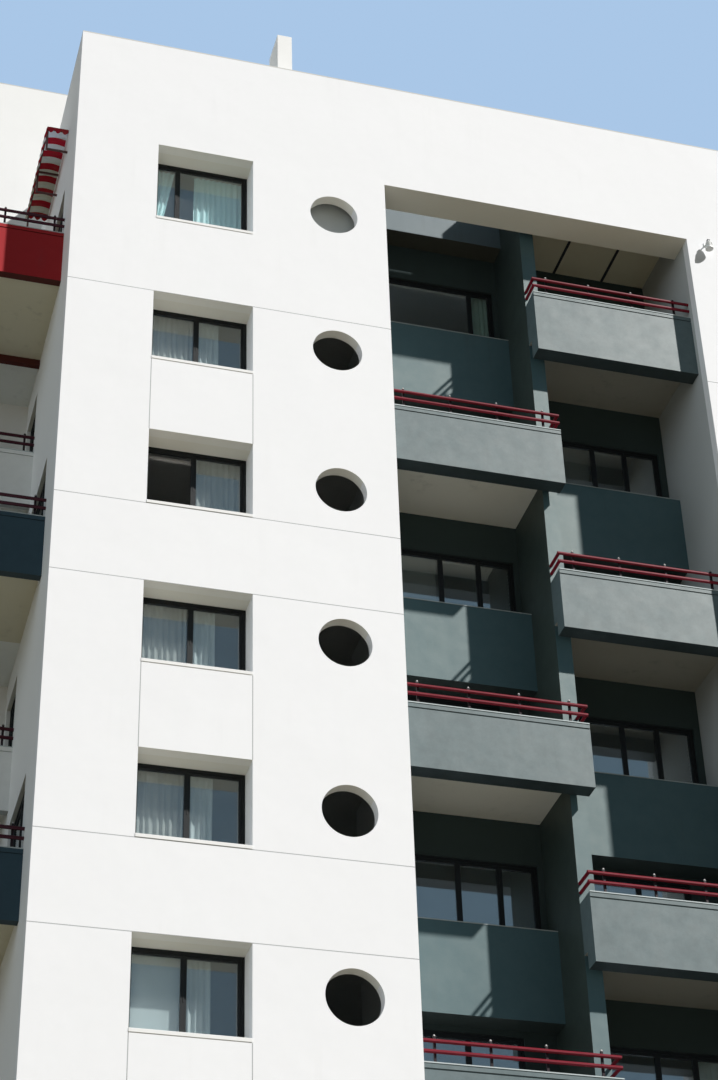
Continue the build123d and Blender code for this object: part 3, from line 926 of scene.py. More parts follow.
class Finishes:
    """Every finish of the block, by its part in the building."""

    # The head colours here are painted shade and painted warm bounce on the faces that look down.
    WHITE = ScoredPlaster("white_front", (0.86, 0.865, 0.88), 0.78, head=(0.81, 0.80, 0.74), stipple=0.0006)
    PLAIN_WHITE = Plaster("white_plaster", (0.84, 0.84, 0.83), 0.78)
    CANOPY = Plaster("canopy_plaster", (0.70, 0.70, 0.68), 0.8, head=(0.82, 0.78, 0.60))
    SLATE = Plaster("slate_plaster", **SLATE_PAINT)
    PIER = PierPlaster("pier_plaster", **SLATE_PAINT)
    ROOF_EDGE = Plaster(
        "roof_edge_plaster", (0.125, 0.172, 0.198), 0.52, head=(0.07, 0.07, 0.055), grime=SLATE_SHADE_AND_GRIME,
        gloss=0.44, sheen=(1.0, 0.93, 0.80), uneven=0.05, cloud=0.08, runs=0.3,
    )
    # Back walls of the recess and the entrance: a darker copy of the slate, painted deep shade.
    SHADED_SLATE = Plaster(
        "deep_slate_plaster", (0.045, 0.065, 0.066), 0.8, head=(0.04, 0.05, 0.05), grime=(0.03, 0.04, 0.04),
        gloss=0.12, cloud=0.06, runs=0.2,
    )
    BALCONY = BalconyPlaster(
        "balcony_plaster", (0.100, 0.142, 0.153), 0.50, head=(0.024, 0.036, 0.038), grime=SLATE_SHADE_AND_GRIME,
        gloss=0.45, sheen=(1.0, 0.96, 0.88), uneven=0.05, patchy=0.18, runs=0.4,
    )
    # Wing balconies: a darker copy of the balcony slate, with olive soffits: painted shade.
    WING_BALCONY = BalconyPlaster(
        "wing_balcony_plaster", (0.04, 0.075, 0.10), 0.65, head=(0.04, 0.06, 0.07),
        grime=(0.04, 0.05, 0.06), gloss=0.2, runs=0.3, soffit=(0.68, 0.66, 0.54), slab=0.25, wing=True,
        mottle=0.06,
    )
    PALE_BALCONY = BalconyPlaster(
        "pale_balcony_plaster", (0.84, 0.86, 0.86), 0.75, head=(0.45, 0.47, 0.46), uneven=0.05, runs=0.1,
        slab=0.25, mottle=0.03,
    )
    # Recess side walls: white plaster given a grey, painted shade.
    RECESS_SIDE_SHADE = Plaster("grey_plaster", (0.48, 0.50, 0.50), 0.78)
    ROOF_CAP = Plaster("roof_cap_plaster", (0.60, 0.60, 0.58), 0.85, cloud=0.06, runs=0.3)
    CAP_EDGE = Plaster("cap_edge_plaster", (0.50, 0.56, 0.57), 0.7, head=(0.3, 0.34, 0.34), runs=0.3)
    CONCRETE = Concrete("cast_concrete", (0.42, 0.42, 0.40), 0.85)
    RAIL = RailPaint("rail_gloss", (0.19, 0.006, 0.018), 0.3, gloss=0.2)
    STEEL = Paint("dark_gloss", (0.05, 0.05, 0.05), 0.4, chip=(0.12, 0.07, 0.05))
    AWNING_STEEL = Paint("dull_red_gloss", (0.11, 0.05, 0.045), 0.5, chip=(0.12, 0.07, 0.05))
    POST_CAP = Paint("pale_gloss", (0.42, 0.41, 0.40), 0.4, chip=(0.25, 0.15, 0.1))
    DARK_FRAME = Aluminium("dark_aluminium", (0.010, 0.011, 0.011), 0.4)
    GLASS = Glazing("tinted_glass", mirror=0.22, **GLASS_SHEET)
    RECESS_GLASS = Glazing("recess_glass", mirror=0.22, shaded_mirror_above=28.0, **GLASS_SHEET)
    FRONT_GLASS = Glazing("front_glass", mirror=0.11, slid_open=True, **GLASS_SHEET)
    CURTAIN = Cloth("curtain_cloth", (0.76, 0.98, 0.98), 0.85)
    GREEN_CURTAIN = Cloth("green_curtain_cloth", (0.34, 0.50, 0.46), 0.85)
    NET = Cloth("net_cloth", (0.38, 0.38, 0.36), 0.85, thread=1100.0)
    BLIND = Cloth("blind_cloth", (0.56, 0.60, 0.60), 0.8, thread=1400.0)
    AWNING = StripedCloth("awning_cloth", (0.50, 0.012, 0.03), 0.85)
    SLAT = Paint("slat_enamel", (0.075, 0.066, 0.06), 0.45, chip=(0.05, 0.05, 0.045))
    LAMP_GLASS = Finish("lamp_lens", (0.55, 0.57, 0.58), 0.1)
    WHITE_ENAMEL = Paint("white_enamel", (0.78, 0.79, 0.78), 0.3, chip=(0.4, 0.38, 0.35))
    DARK_GAP = Finish("dark_joint", (0.012, 0.012, 0.012), 0.9)


# Shaping ------------------------------------------------------------------------------------------


class Piece:
    """One piece of the scene while it is modelled, in the block's own frame."""

    def __init__(self, name: str) -> None:
        """Starts an empty piece of that name."""
        self.name = name
        self.mesh = bmesh.new()

    def block(self, low: Point, high: Point, bevel: float = 0.0) -> None:
        """Adds a straight bar between two corners.

        Args:
            low: lowest corner.
            high: highest corner.
            bevel: width of its eased edges.
        """
        low, high = Vector(low), Vector(high)
        place = Matrix.Translation((low + high) / 2) @ Matrix.Diagonal((*(high - low), 1.0))
        made = bmesh.ops.create_cube(self.mesh, size=1.0, matrix=place)
        if bevel:
            edges = list(dict.fromkeys(edge for vert in made["verts"] for edge in vert.link_edges))
            bmesh.ops.bevel(
                self.mesh, geom=edges, offset=bevel, segments=2, profile=0.5, affect="EDGES", material=-1
            )

    def drawn(self, faces: list[bmesh.types.BMFace], way: Vector) -> None:
        """Draws faces out into a solid bar.

        Args:
            faces: the faces.
            way: how far, and which way.
        """
        grown = bmesh.ops.extrude_face_region(self.mesh, geom=faces)["geom"]
        verts = [item for item in grown if isinstance(item, bmesh.types.BMVert)]
        bmesh.ops.translate(self.mesh, verts=verts, vec=way)

    def ring(self, low: Point, high: Point, stile: float, axis: Axis) -> None:
        """Adds a frame that fills a box around its opening.

        Args:
            low: lowest corner.
            high: highest corner.
            stile: width of the frame's members.
            axis: the way that it faces.
        """
        size, start, through = Vector(high) - Vector(low), (Vector(low) + Vector(high)) / 2, Vector()
        start[axis.deep] = low[axis.deep]
        through[axis.deep] = size[axis.deep]
        place = Matrix.Translation(start) @ axis.turn @ Matrix.Diagonal((size[axis.wide], size.z, 1.0, 1.0))
        made = bmesh.ops.create_grid(self.mesh, x_segments=1, y_segments=1, size=0.5, matrix=place)
        middle = made["verts"][0].link_faces[0]
        rim = bmesh.ops.inset_region(
            self.mesh, faces=[middle], thickness=stile, use_even_offset=True, use_boundary=True
        )["faces"]
        bmesh.ops.delete(self.mesh, geom=[middle], context="FACES")
        self.drawn(rim, through)

    def profile(self, points: list[Span], start: Point, end: Point) -> None:
        """Adds a section drawn out along X or Y.

        Args:
            points: the section's outline, as (across, up) from the line.
            start: start of the line.
            end: end of the line.
        """
        run = Vector(end) - Vector(start)
        side = Vector((0.0, 1.0, 0.0)) if abs(run.x) > abs(run.y) else Vector((1.0, 0.0, 0.0))
        verts = [self.mesh.verts.new(Vector(start) + side * a + Vector((0.0, 0.0, b))) for a, b in points]
        self.drawn([self.mesh.faces.new(verts)], run)

    def cone(
        self, foot: Point, low: float, high: float, tall: float, sides: int,
        turn: Matrix = Matrix.Identity(4),
    ) -> None:
        """Adds a tapered round boss.

        Args:
            foot: middle of its lower end.
            low: radius of the lower end.
            high: radius of the upper end.
            tall: its length.
            sides: number of its sides.
            turn: how it is turned about its lower end.
        """
        place = Matrix.Translation(foot) @ turn @ Matrix.Translation((0.0, 0.0, tall / 2))
        bmesh.ops.create_cone(
            self.mesh, cap_ends=True, segments=sides, radius1=low, radius2=high, depth=tall, matrix=place
        )

    def flat(
        self, span: Span, y: float, foot: float, top: float, columns: int, rows: int
    ) -> list[bmesh.types.BMVert]:
        """Adds a flat cloth, upright and facing Y.

        Args:
            span: left and right edge.
            y: how far back it hangs.
            foot: height of its lower edge.
            top: height of its upper edge.
            columns: number of its strips across.
            rows: number of its strips down.

        Returns:
            Its points.
        """
        place = Matrix.Translation((sum(span) / 2, y, (foot + top) / 2)) @ QUARTER_X
        place = place @ Matrix.Diagonal((span[1] - span[0], top - foot, 1.0, 1.0))
        made = bmesh.ops.create_grid(self.mesh, x_segments=columns, y_segments=rows, size=0.5, matrix=place)
        return made["verts"]

    def area(self) -> float:
        """The piece's area."""
        return sum(face.calc_area() for face in self.mesh.faces)

    def finished(self, finish: Finish, slot: str, smooth: bool = False) -> bpy.types.Object:
        """Ends the piece: its faces point outwards, it is painted, and it rides on the block.

        Args:
            finish: what it is finished in.
            slot: the record's material slot; not used.
            smooth: whether its faces are shaded smooth.

        Returns:
            The object.
        """
        bmesh.ops.recalc_face_normals(self.mesh, faces=self.mesh.faces)
        data = bpy.data.meshes.new(self.name)
        self.mesh.to_mesh(data)
        self.mesh.free()
        data.materials.append(finish.material())
        if smooth:
            data.shade_smooth()
        made = bpy.data.objects.new(self.name, data)
        bpy.context.scene.collection.objects.link(made)
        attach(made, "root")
        log.info("%s: %d faces", self.name, len(data.polygons))
        return made


def spaced(start: float, end: float, bay: float) -> list[float]:
    """Positions at even spacing of about one bay, both ends included."""
    count = max(1, round((end - start) / bay))
    return [start + (end - start) * i / count for i in range(count + 1)]


# Windows and doors --------------------------------------------------------------------------------


@dataclass
class Casement:
    """The frame and sliding sashes of one opening, and the bars between its lights."""

    stile: float = 0.045
    sash: float = 0.045
    meet: float = 0.0
    clear: float = 0.002
    gap: float = 0.004
    step: float = 0.010
    pull: Point = (0.008, 0.006, 0.06)
    eased: float = 0.002

    def build(
        self, piece: Piece, low: Point, high: Point, bars: tuple[float, ...],
        axis: Axis = Axis.Y, outward: int = -1,
    ) -> None:
        """Adds one window's frame, its sashes and the meeting bars.

        Args:
            piece: the piece that it becomes part of.
            low: lowest corner of the opening, at the frame's outer face.
            high: highest corner of the opening, at the frame's inner face.
            bars: where the lights meet, as shares of the width.
            axis: the way that it faces.
            outward: sign of the outward direction on that axis.
        """
        low, high = list(low), list(high)
        wide, deep, up = axis.wide, axis.deep, 2
        for way in (wide, up):
            low[way] += self.clear
            high[way] -= self.clear
        piece.ring(low, high, self.stile, axis)
        edges = (0.0, *bars, 1.0)
        full = high[wide] - low[wide] - 2 * self.stile
        for number, (a, b) in enumerate(zip(edges, edges[1:])):
            start, end = list(low), list(high)
            start[wide] = low[wide] + self.stile + full * a - (self.meet if a else -self.gap)
            end[wide] = low[wide] + self.stile + full * b + (self.meet if b < 1 else -self.gap)
            start[up] += self.stile + self.gap
            end[up] -= self.stile + self.gap
            near = (number % 2 == 0) == (outward < 0)
            start[deep] += self.gap + (0.0 if near else self.step)
            end[deep] -= self.gap + (self.step if near else 0.0)
            piece.ring(start, end, self.sash, axis)

    def handle(self, piece: Piece, at: Point) -> None:
        """Adds a flush pull on a meeting stile."""
        at, half = Vector(at), Vector(self.pull)
        piece.block(at - half, at + half, self.eased)


@dataclass
class Hanging:
    """Curtains in folds and roller blinds, each on its own track or roller."""

    fold: float = 0.10
    swing: float = 0.028
    belly: Span = (0.45, 0.55)
    wander: Span = (0.37, 0.29)
    drift: float = 0.008
    fullness: int = 8
    rail: float = 0.05
    past: float = 0.03
    roller: float = 0.02
    roller_back: float = 0.018
    bar_half: float = 0.008
    sag: float = 0.004
    eased: float = 0.003

    def curtain(
        self, name: str, span: Span, y: float, foot: float, top: float, finish: Finish, tied: float = 0.0
    ) -> None:
        """Hangs one gathered curtain from a track.

        Args:
            name: name of the curtain.
            span: left and right edge.
            y: how far back it hangs.
            foot: height of its hem.
            top: height of its heading.
            finish: its cloth.
            tied: share of its width that is drawn to the left at its hem.
        """
        piece = Piece(name)
        columns = max(self.fullness, round((span[1] - span[0]) / self.fold) * self.fullness)
        rows: dict[int, list[Vector]] = {}
        for vert in piece.flat(span, y, foot, top, columns, rows=8):
            drop = (top - vert.co.z) / (top - foot)
            phase = (vert.co.x - span[0]) / self.fold * 2 * math.pi
            swing = self.swing * (self.belly[0] + self.belly[1] * drop)
            vert.co.y += swing * math.sin(phase + 0.5 * math.sin(phase * self.wander[0]))
            vert.co.x += self.drift * drop * math.sin(phase * self.wander[1] + vert.co.z)
            vert.co.x -= tied * drop * (vert.co.x - span[0])
            rows.setdefault(round((top - vert.co.z) * 50), []).append(vert.co.copy())
        for row in rows.values():
            row.sort(key=lambda co: co.x)
        cloth = piece.finished(finish, "white_plaster", smooth=True)
        held_by = self.track(name, span, y, top)

    def track(self, name: str, span: Span, y: float, top: float) -> str:
        """Makes the track that a curtain hangs from.

        Args:
            name: name of the curtain.
            span: left and right edge.
            y: how far back it is.
            top: height of the curtain's heading.

        Returns:
            The track's name.
        """
        piece = Piece(f"{name}_track")
        low = (span[0] - self.past, y - self.rail / 2, top - self.sag)
        piece.block(low, (span[1] + self.past, y + self.rail / 2, top + self.rail), self.eased)
        return piece.finished(Finishes.POST_CAP, "grey_metal").name

    def blind(self, name: str, span: Span, y: float, foot: float, top: float, finish: Finish) -> None:
        """Hangs one roller blind.

        Args:
            name: name of the blind.
            span: left and right edge.
            y: how far back it hangs.
            foot: height of its lower bar.
            top: height of its roller.
            finish: its cloth.
        """
        piece = Piece(name)
        wide, size = span[1] - span[0], self.roller
        for vert in piece.flat(span, y, foot, top, columns=4, rows=10):
            vert.co.y += self.sag * math.sin((vert.co.z - foot) * 5.0)
        cloth = piece.finished(finish, "white_plaster", smooth=True)
        roller = Piece(f"{name}_roller")
        start = (span[0] - size, y + self.roller_back, top)
        roller.cone(start, size, size, wide + 2 * size, 12, QUARTER_Y)
        low = (span[0], y - self.bar_half, foot - size)
        roller.block(low, (span[1], y + self.bar_half, foot + self.sag), self.eased)
        held = roller.finished(Finishes.POST_CAP, "grey_metal")


class Dressing(Enum):
    """What hangs behind one light of a window."""

    OPEN = "open"
    CURTAIN = "curtain"
    TIED = "tied"
    PART = "part"
    BLIND = "blind"
    NET = "net"
    CORNER = "corner"
    RAIL = "rail"


@dataclass(frozen=True)
class Drape:
    """A curtain's cloth, its edges as shares of its light, what it lacks at the right, and its tie."""

    cloth: Finish = Finishes.CURTAIN
    start: float = 0.0
    end: float = 1.0
    short: float = 0.0
    tied: float = 0.0


@dataclass
class FrontWindows:
    """The sliding windows of the two front bays, their sill bands, and what hangs behind them."""

    casement: Casement = field(default_factory=Casement)
    hanging: Hanging = field(default_factory=Hanging)
    band_high: float = 0.06
    band_out: float = 0.008
    band_drip: float = 0.006
    meeting: float = 0.49
    top_meeting: float = 0.25
    hang_back: float = 0.05
    past: float = 0.06
    apart: float = 0.02
    hem: float = 0.12
    heading: float = 0.05
    top_heading: float = -0.08
    blind_rise: Span = (0.17, 0.45)
    rail_drop: float = 0.16
    round_back: float = 0.34
    drapes: ClassVar[dict[Dressing, Drape]] = {
        Dressing.CURTAIN: Drape(),
        Dressing.TIED: Drape(tied=0.6),
        Dressing.PART: Drape(start=0.24),
        Dressing.NET: Drape(Finishes.NET, short=0.03),
        Dressing.CORNER: Drape(Finishes.BLIND, end=0.42),
    }
    dressings: ClassVar[dict[int, tuple[Dressing, Dressing]]] = {
        9: (Dressing.TIED, Dressing.PART),
        8: (Dressing.NET, Dressing.CORNER),
        7: (Dressing.RAIL, Dressing.NET),
        6: (Dressing.NET, Dressing.CORNER),
        5: (Dressing.NET, Dressing.CORNER),
        4: (Dressing.BLIND, Dressing.CORNER),
        2: (Dressing.OPEN, Dressing.BLIND),
        1: (Dressing.CURTAIN, Dressing.CURTAIN),
    }

    def build(self) -> None:
        """Makes the windows of both bays."""
        for side, word in WORDS.items():
            frames = Piece(f"front_window_frames_{word}")
            bands = Piece(f"sill_bands_{word}")
            for k in range(PLAN.top + 1):
                self.window(frames, bands, side, k)
                self.hang(side, k)
            frames.finished(Finishes.DARK_FRAME, "grey_metal")
            bands.finished(Finishes.PLAIN_WHITE, "white_plaster")
        self.round_blind()

    def share(self, k: int) -> float:
        """Where the two sashes of a storey's window meet, as a share of its width."""
        return self.top_meeting if k == PLAN.top else self.meeting

    def window(self, frames: Piece, bands: Piece, side: int, k: int) -> None:
        """Adds one window's frame and sashes, and the sill band under it with its drip.

        Args:
            frames: the piece that takes the frame.
            bands: the piece that takes the band.
            side: which bay.
            k: the storey.
        """
        x0, x1 = PLAN.window_x(side)
        sill, head = PLAN.sill(k), PLAN.head(k)
        y0 = PLAN.front + PLAN.reveal - self.casement.gap
        self.casement.build(frames, (x0, y0, sill), (x1, y0 + PLAN.frame_deep, head), (self.share(k),))
        split = x0 + (x1 - x0) * self.share(k)
        self.casement.handle(frames, (split, y0 + self.casement.gap, (sill + head) / 2))
        out, low = -self.band_out, -self.band_high
        section = [(0.0, 0.0), (0.0, low), (out, low), (out, -self.band_drip)]
        bands.profile(section, (x0, PLAN.front, sill), (x1, PLAN.front, sill))

    def hang(self, side: int, k: int) -> None:
        """Hangs what a storey's window has behind its two lights.

        Args:
            side: which bay.
            k: the storey.
        """
        x0, x1 = PLAN.window_x(side)
        split = x0 + (x1 - x0) * self.share(k)
        y = PLAN.front + PLAN.reveal + PLAN.frame_deep + self.hang_back
        foot = PLAN.sill(k) - self.hem
        top = PLAN.head(k) + (self.top_heading if k == PLAN.top else self.heading)
        lights = ((x0 - self.past, split - self.apart), (split + self.apart, x1 + self.past))
        for number, (dressing, (a, b)) in enumerate(zip(self.dressings.get(k, ()), lights)):
            name = f"window_{dressing.value}_{WORDS[side]}_{k}_{number}"
            if dressing in self.drapes:
                drape = self.drapes[dressing]
                span = (a + drape.start * (b - a), a + drape.end * (b - a) - drape.short)
                self.hanging.curtain(name, span, y, foot, top, drape.cloth, drape.tied)
            elif dressing is Dressing.BLIND:
                low = foot + self.blind_rise[0] + self.blind_rise[1] * number
                self.hanging.blind(name, (a, b), y, low, top - self.apart, Finishes.BLIND)
            elif dressing is Dressing.RAIL:
                self.hanging.track(name, (a, b), y, PLAN.head(k) - self.rail_drop)

    def round_blind(self) -> None:
        """Hangs the pale blind behind the top round opening of the left bay."""
        x, z = PLAN.bay_x(-1, PLAN.round_at), PLAN.sill(PLAN.top) + PLAN.round_rise
        half, y = PLAN.round_half + self.hem, PLAN.front + self.round_back
        span = (x - half, x + half)
        self.hanging.blind("round_opening_blind", span, y, z - half, z + half, Finishes.BLIND)


class Backing(Enum):
    """What hangs behind one light in the recess, by the start of its name."""

    CURTAIN = "recess_curtain"
    BLIND = "recess_blind"
    SLATS = "slatted_blind"
    TRACK = "recess_window"


@dataclass
class RecessWindows:
    """Frames of the wide windows and balcony doors at the back of the recess, and what hangs there."""

    casement: Casement = field(default_factory=Casement)
    hanging: Hanging = field(default_factory=Hanging)
    left_edges: Span = (0.100, 0.090)
    right_edges: Span = (0.080, 0.120)
    left_bars: tuple[float, ...] = (0.495, 0.766)
    right_bars: tuple[float, ...] = (0.503, 0.752)
    top_left_bars: tuple[float, ...] = (0.838,)
    hang_in: float = 0.21
    curtain_hem: float = 0.1
    curtain_heading: float = 0.06
    blind_in: float = 0.05
    blind_foot: float = 0.02
    blind_head: float = 0.03
    track_out: float = 0.08
    track_drop: float = 0.12
    slats_in: float = 0.06
    slat: float = 0.075
    slat_size: Span = (0.08, 0.003)
    slat_tilt: float = -38.0
    tape_in: float = 0.15
    tape_half: float = 0.002
    hung: ClassVar[dict[Backing, tuple[Light, ...]]] = {
        Backing.CURTAIN: ((-1, 9, 1), (-1, 3, 2), (1, 4, 2)),
        Backing.BLIND: ((-1, 7, 0), (1, 8, 0), (-1, 1, 1)),
        Backing.SLATS: ((-1, 7, 2), (1, 6, 2), (-1, 3, 1)),
        Backing.TRACK: ((-1, 9, 0), (-1, 7, 1), (1, 8, 1)),
    }

    def span(self, side: int) -> Span:
        """Left and right edge of the windows of one column.

        Args:
            side: which column.

        Returns:
            The two edges.
        """
        if side < 0:
            return -PLAN.half_recess + self.left_edges[0], PLAN.pier[0] - self.left_edges[1]
        return PLAN.pier[1] + self.right_edges[0], PLAN.half_recess - self.right_edges[1]

    def bars(self, side: int, k: int) -> tuple[float, ...]:
        """Where the lights of one window meet, as shares of its width.

        Args:
            side: which column.
            k: the storey.

        Returns:
            The shares.
        """
        if side > 0:
            return self.right_bars
        return self.top_left_bars if k == PLAN.top else self.left_bars

    def build(self) -> None:
        """Makes the frames of both columns, and hangs their curtains and blinds."""
        y0 = PLAN.recess_back + PLAN.frame_in
        y1 = y0 + PLAN.frame_deep
        for side, word in WORDS.items():
            piece = Piece(f"recess_frames_{word}")
            for k in range(1 if side < 0 else 0, PLAN.top + 1):
                x0, x1 = self.span(side)
                foot, head, bars = PLAN.sill(k), PLAN.recess_head(k), self.bars(side, k)
                if k in PLAN.balconies(side):
                    middle, half = (x0 + x1) / 2, PLAN.recess_door_wide / 2
                    x0, x1, bars = middle - half, middle + half, (0.5,)
                    foot, head = PLAN.floor(k) + PLAN.door_step, PLAN.floor(k) + PLAN.door_head
                self.casement.build(piece, (x0, y0, foot), (x1, y1, head), bars)
            piece.finished(Finishes.DARK_FRAME, "grey_metal")
        self.hang()

    def light(self, side: int, k: int, number: int) -> Span:
        """Left and right edge of one light of a window, counted from the left.

        Args:
            side: which column.
            k: the storey.
            number: which light.

        Returns:
            The two edges.
        """
        x0, x1 = self.span(side)
        edges = (0.0, *self.bars(side, k), 1.0)
        return x0 + (x1 - x0) * edges[number], x0 + (x1 - x0) * edges[number + 1]

    def hang(self) -> None:
        """Hangs the curtains, the blinds, the slats and the bare tracks that show."""
        y = PLAN.recess_back + self.hang_in
        for backing, lights in self.hung.items():
            for side, k, number in lights:
                name = f"{backing.value}_{WORDS[side]}_{k}_{number}"
                a, b = self.light(side, k, number)
                foot, top = PLAN.sill(k), PLAN.recess_head(k)
                if backing is Backing.CURTAIN:
                    foot, top = foot - self.curtain_hem, top + self.curtain_heading
                    self.hanging.curtain(name, (a, b), y, foot, top, Finishes.GREEN_CURTAIN)
                elif backing is Backing.BLIND:
                    span = (a + self.blind_in, b - self.blind_in)
                    foot, top = foot + self.blind_foot, top + self.blind_head
                    self.hanging.blind(name, span, y, foot, top, Finishes.NET)
                elif backing is Backing.SLATS:
                    self.slats(name, (a + self.slats_in, b - self.slats_in), y, foot, top)
                elif backing is Backing.TRACK:
                    self.hanging.track(name, (a, b), y - self.track_out, top - self.track_drop)

    def slats(self, name: str, span: Span, y: float, foot: float, top: float) -> None:
        """Hangs one slatted blind from its head rail.

        Args:
            name: name of the blind.
            span: left and right edge.
            y: how far back it hangs.
            foot: height of its lower end.
            top: height of its head rail.
        """
        piece = Piece(name)
        left, right = span
        piece.block((left, y - 0.02, top - 0.03), (right, y + 0.02, top + 0.01), 0.003)
        tilt = Matrix.Rotation(math.radians(self.slat_tilt), 4, "X")
        size = Matrix.Diagonal((right - left, *self.slat_size, 1.0))
        first = top - self.slats_in
        for step in range(int((top - foot) / self.slat)):
            place = Matrix.Translation(((left + right) / 2, y, first - self.slat * step))
            bmesh.ops.create_cube(piece.mesh, size=1.0, matrix=place @ tilt @ size)
        half = self.tape_half
        for x in (left + self.tape_in, right - self.tape_in):
            piece.block((x - half, y - half, foot), (x + half, y + half, top - 0.02))
        piece.finished(Finishes.SLAT, "grey_metal")


@dataclass
class WingDoors:
    """Frames of the doors onto the wing balconies, in the side walls and in the wing walls."""

    casement: Casement = field(default_factory=lambda: Casement(stile=0.05, sash=0.06, meet=0.006))
    deep_door: Span = (1.15, 2.90)
    short_door: Span = (3.20, 4.35)
    wing_door: Span = (0.4, 2.1)
    side_in: Span = (0.065, 0.135)

    def build(self) -> None:
        """Makes the door frames of both wings."""
        y0 = PLAN.setback + PLAN.frame_in
        y1 = y0 + PLAN.frame_deep
        for side, word in WORDS.items():
            flank, wing = Piece(f"side_door_frames_{word}"), Piece(f"wing_door_frames_{word}")
            inner, outer = sorted(side * (PLAN.half_front - distance) for distance in self.side_in)
            left, right = sorted(side * (PLAN.half_block - distance) for distance in self.wing_door)
            for k in range(PLAN.top + 1):
                floor = PLAN.floor(k)
                foot, head = floor + PLAN.door_step, floor + PLAN.side_door_head
                if k:
                    door = self.deep_door if k in PLAN.deep_storeys else self.short_door
                    low, high = (inner, PLAN.front + door[0], foot), (outer, PLAN.front + door[1], head)
                    self.casement.build(flank, low, high, (0.5,), Axis.X, side)
                self.casement.build(wing, (left, y0, foot), (right, y1, floor + PLAN.door_head), (0.5,))
            for piece in (flank, wing):
                piece.finished(Finishes.DARK_FRAME, "grey_metal")


@dataclass
class RearWindows:
    """Frames and sills of the rear wall's rows of windows."""

    casement: Casement = field(default_factory=lambda: Casement(stile=0.05, sash=0.05, meet=0.006))
    count: int = 6
    wide: float = 1.74
    frame_in: float = 0.03
    top_sill_rise: float = 0.85
    sill_out: float = 0.03
    sill_high: float = 0.07
    sill_fall: float = 0.01

    def build(self) -> None:
        """Makes the frames and sills of every row."""
        frames, sills = Piece("rear_window_frames"), Piece("rear_sills")
        out, drop = self.sill_out, -self.sill_high
        section = [(0.0, 0.0), (0.0, drop), (out, drop), (out, -self.sill_fall)]
        bay = 2 * PLAN.half_block / self.count
        y1 = PLAN.rear - self.frame_in
        rows = [PLAN.sill(k) for k in range(PLAN.top + 1)] + [PLAN.roof_deck + self.top_sill_rise]
        for sill in rows:
            for number in range(self.count):
                middle = -PLAN.half_block + bay * (number + 0.5)
                x0, x1 = middle - self.wide / 2, middle + self.wide / 2
                low, high = (x0, y1 - PLAN.frame_deep, sill), (x1, y1, sill + PLAN.window_high)
                self.casement.build(frames, low, high, (0.5,), Axis.Y, 1)
                sills.profile(section, (x0, PLAN.rear, sill), (x1, PLAN.rear, sill))
        frames.finished(Finishes.DARK_FRAME, "grey_metal")
        sills.finished(Finishes.PLAIN_WHITE, "white_plaster")


# Balconies and roof -------------------------------------------------------------------------------


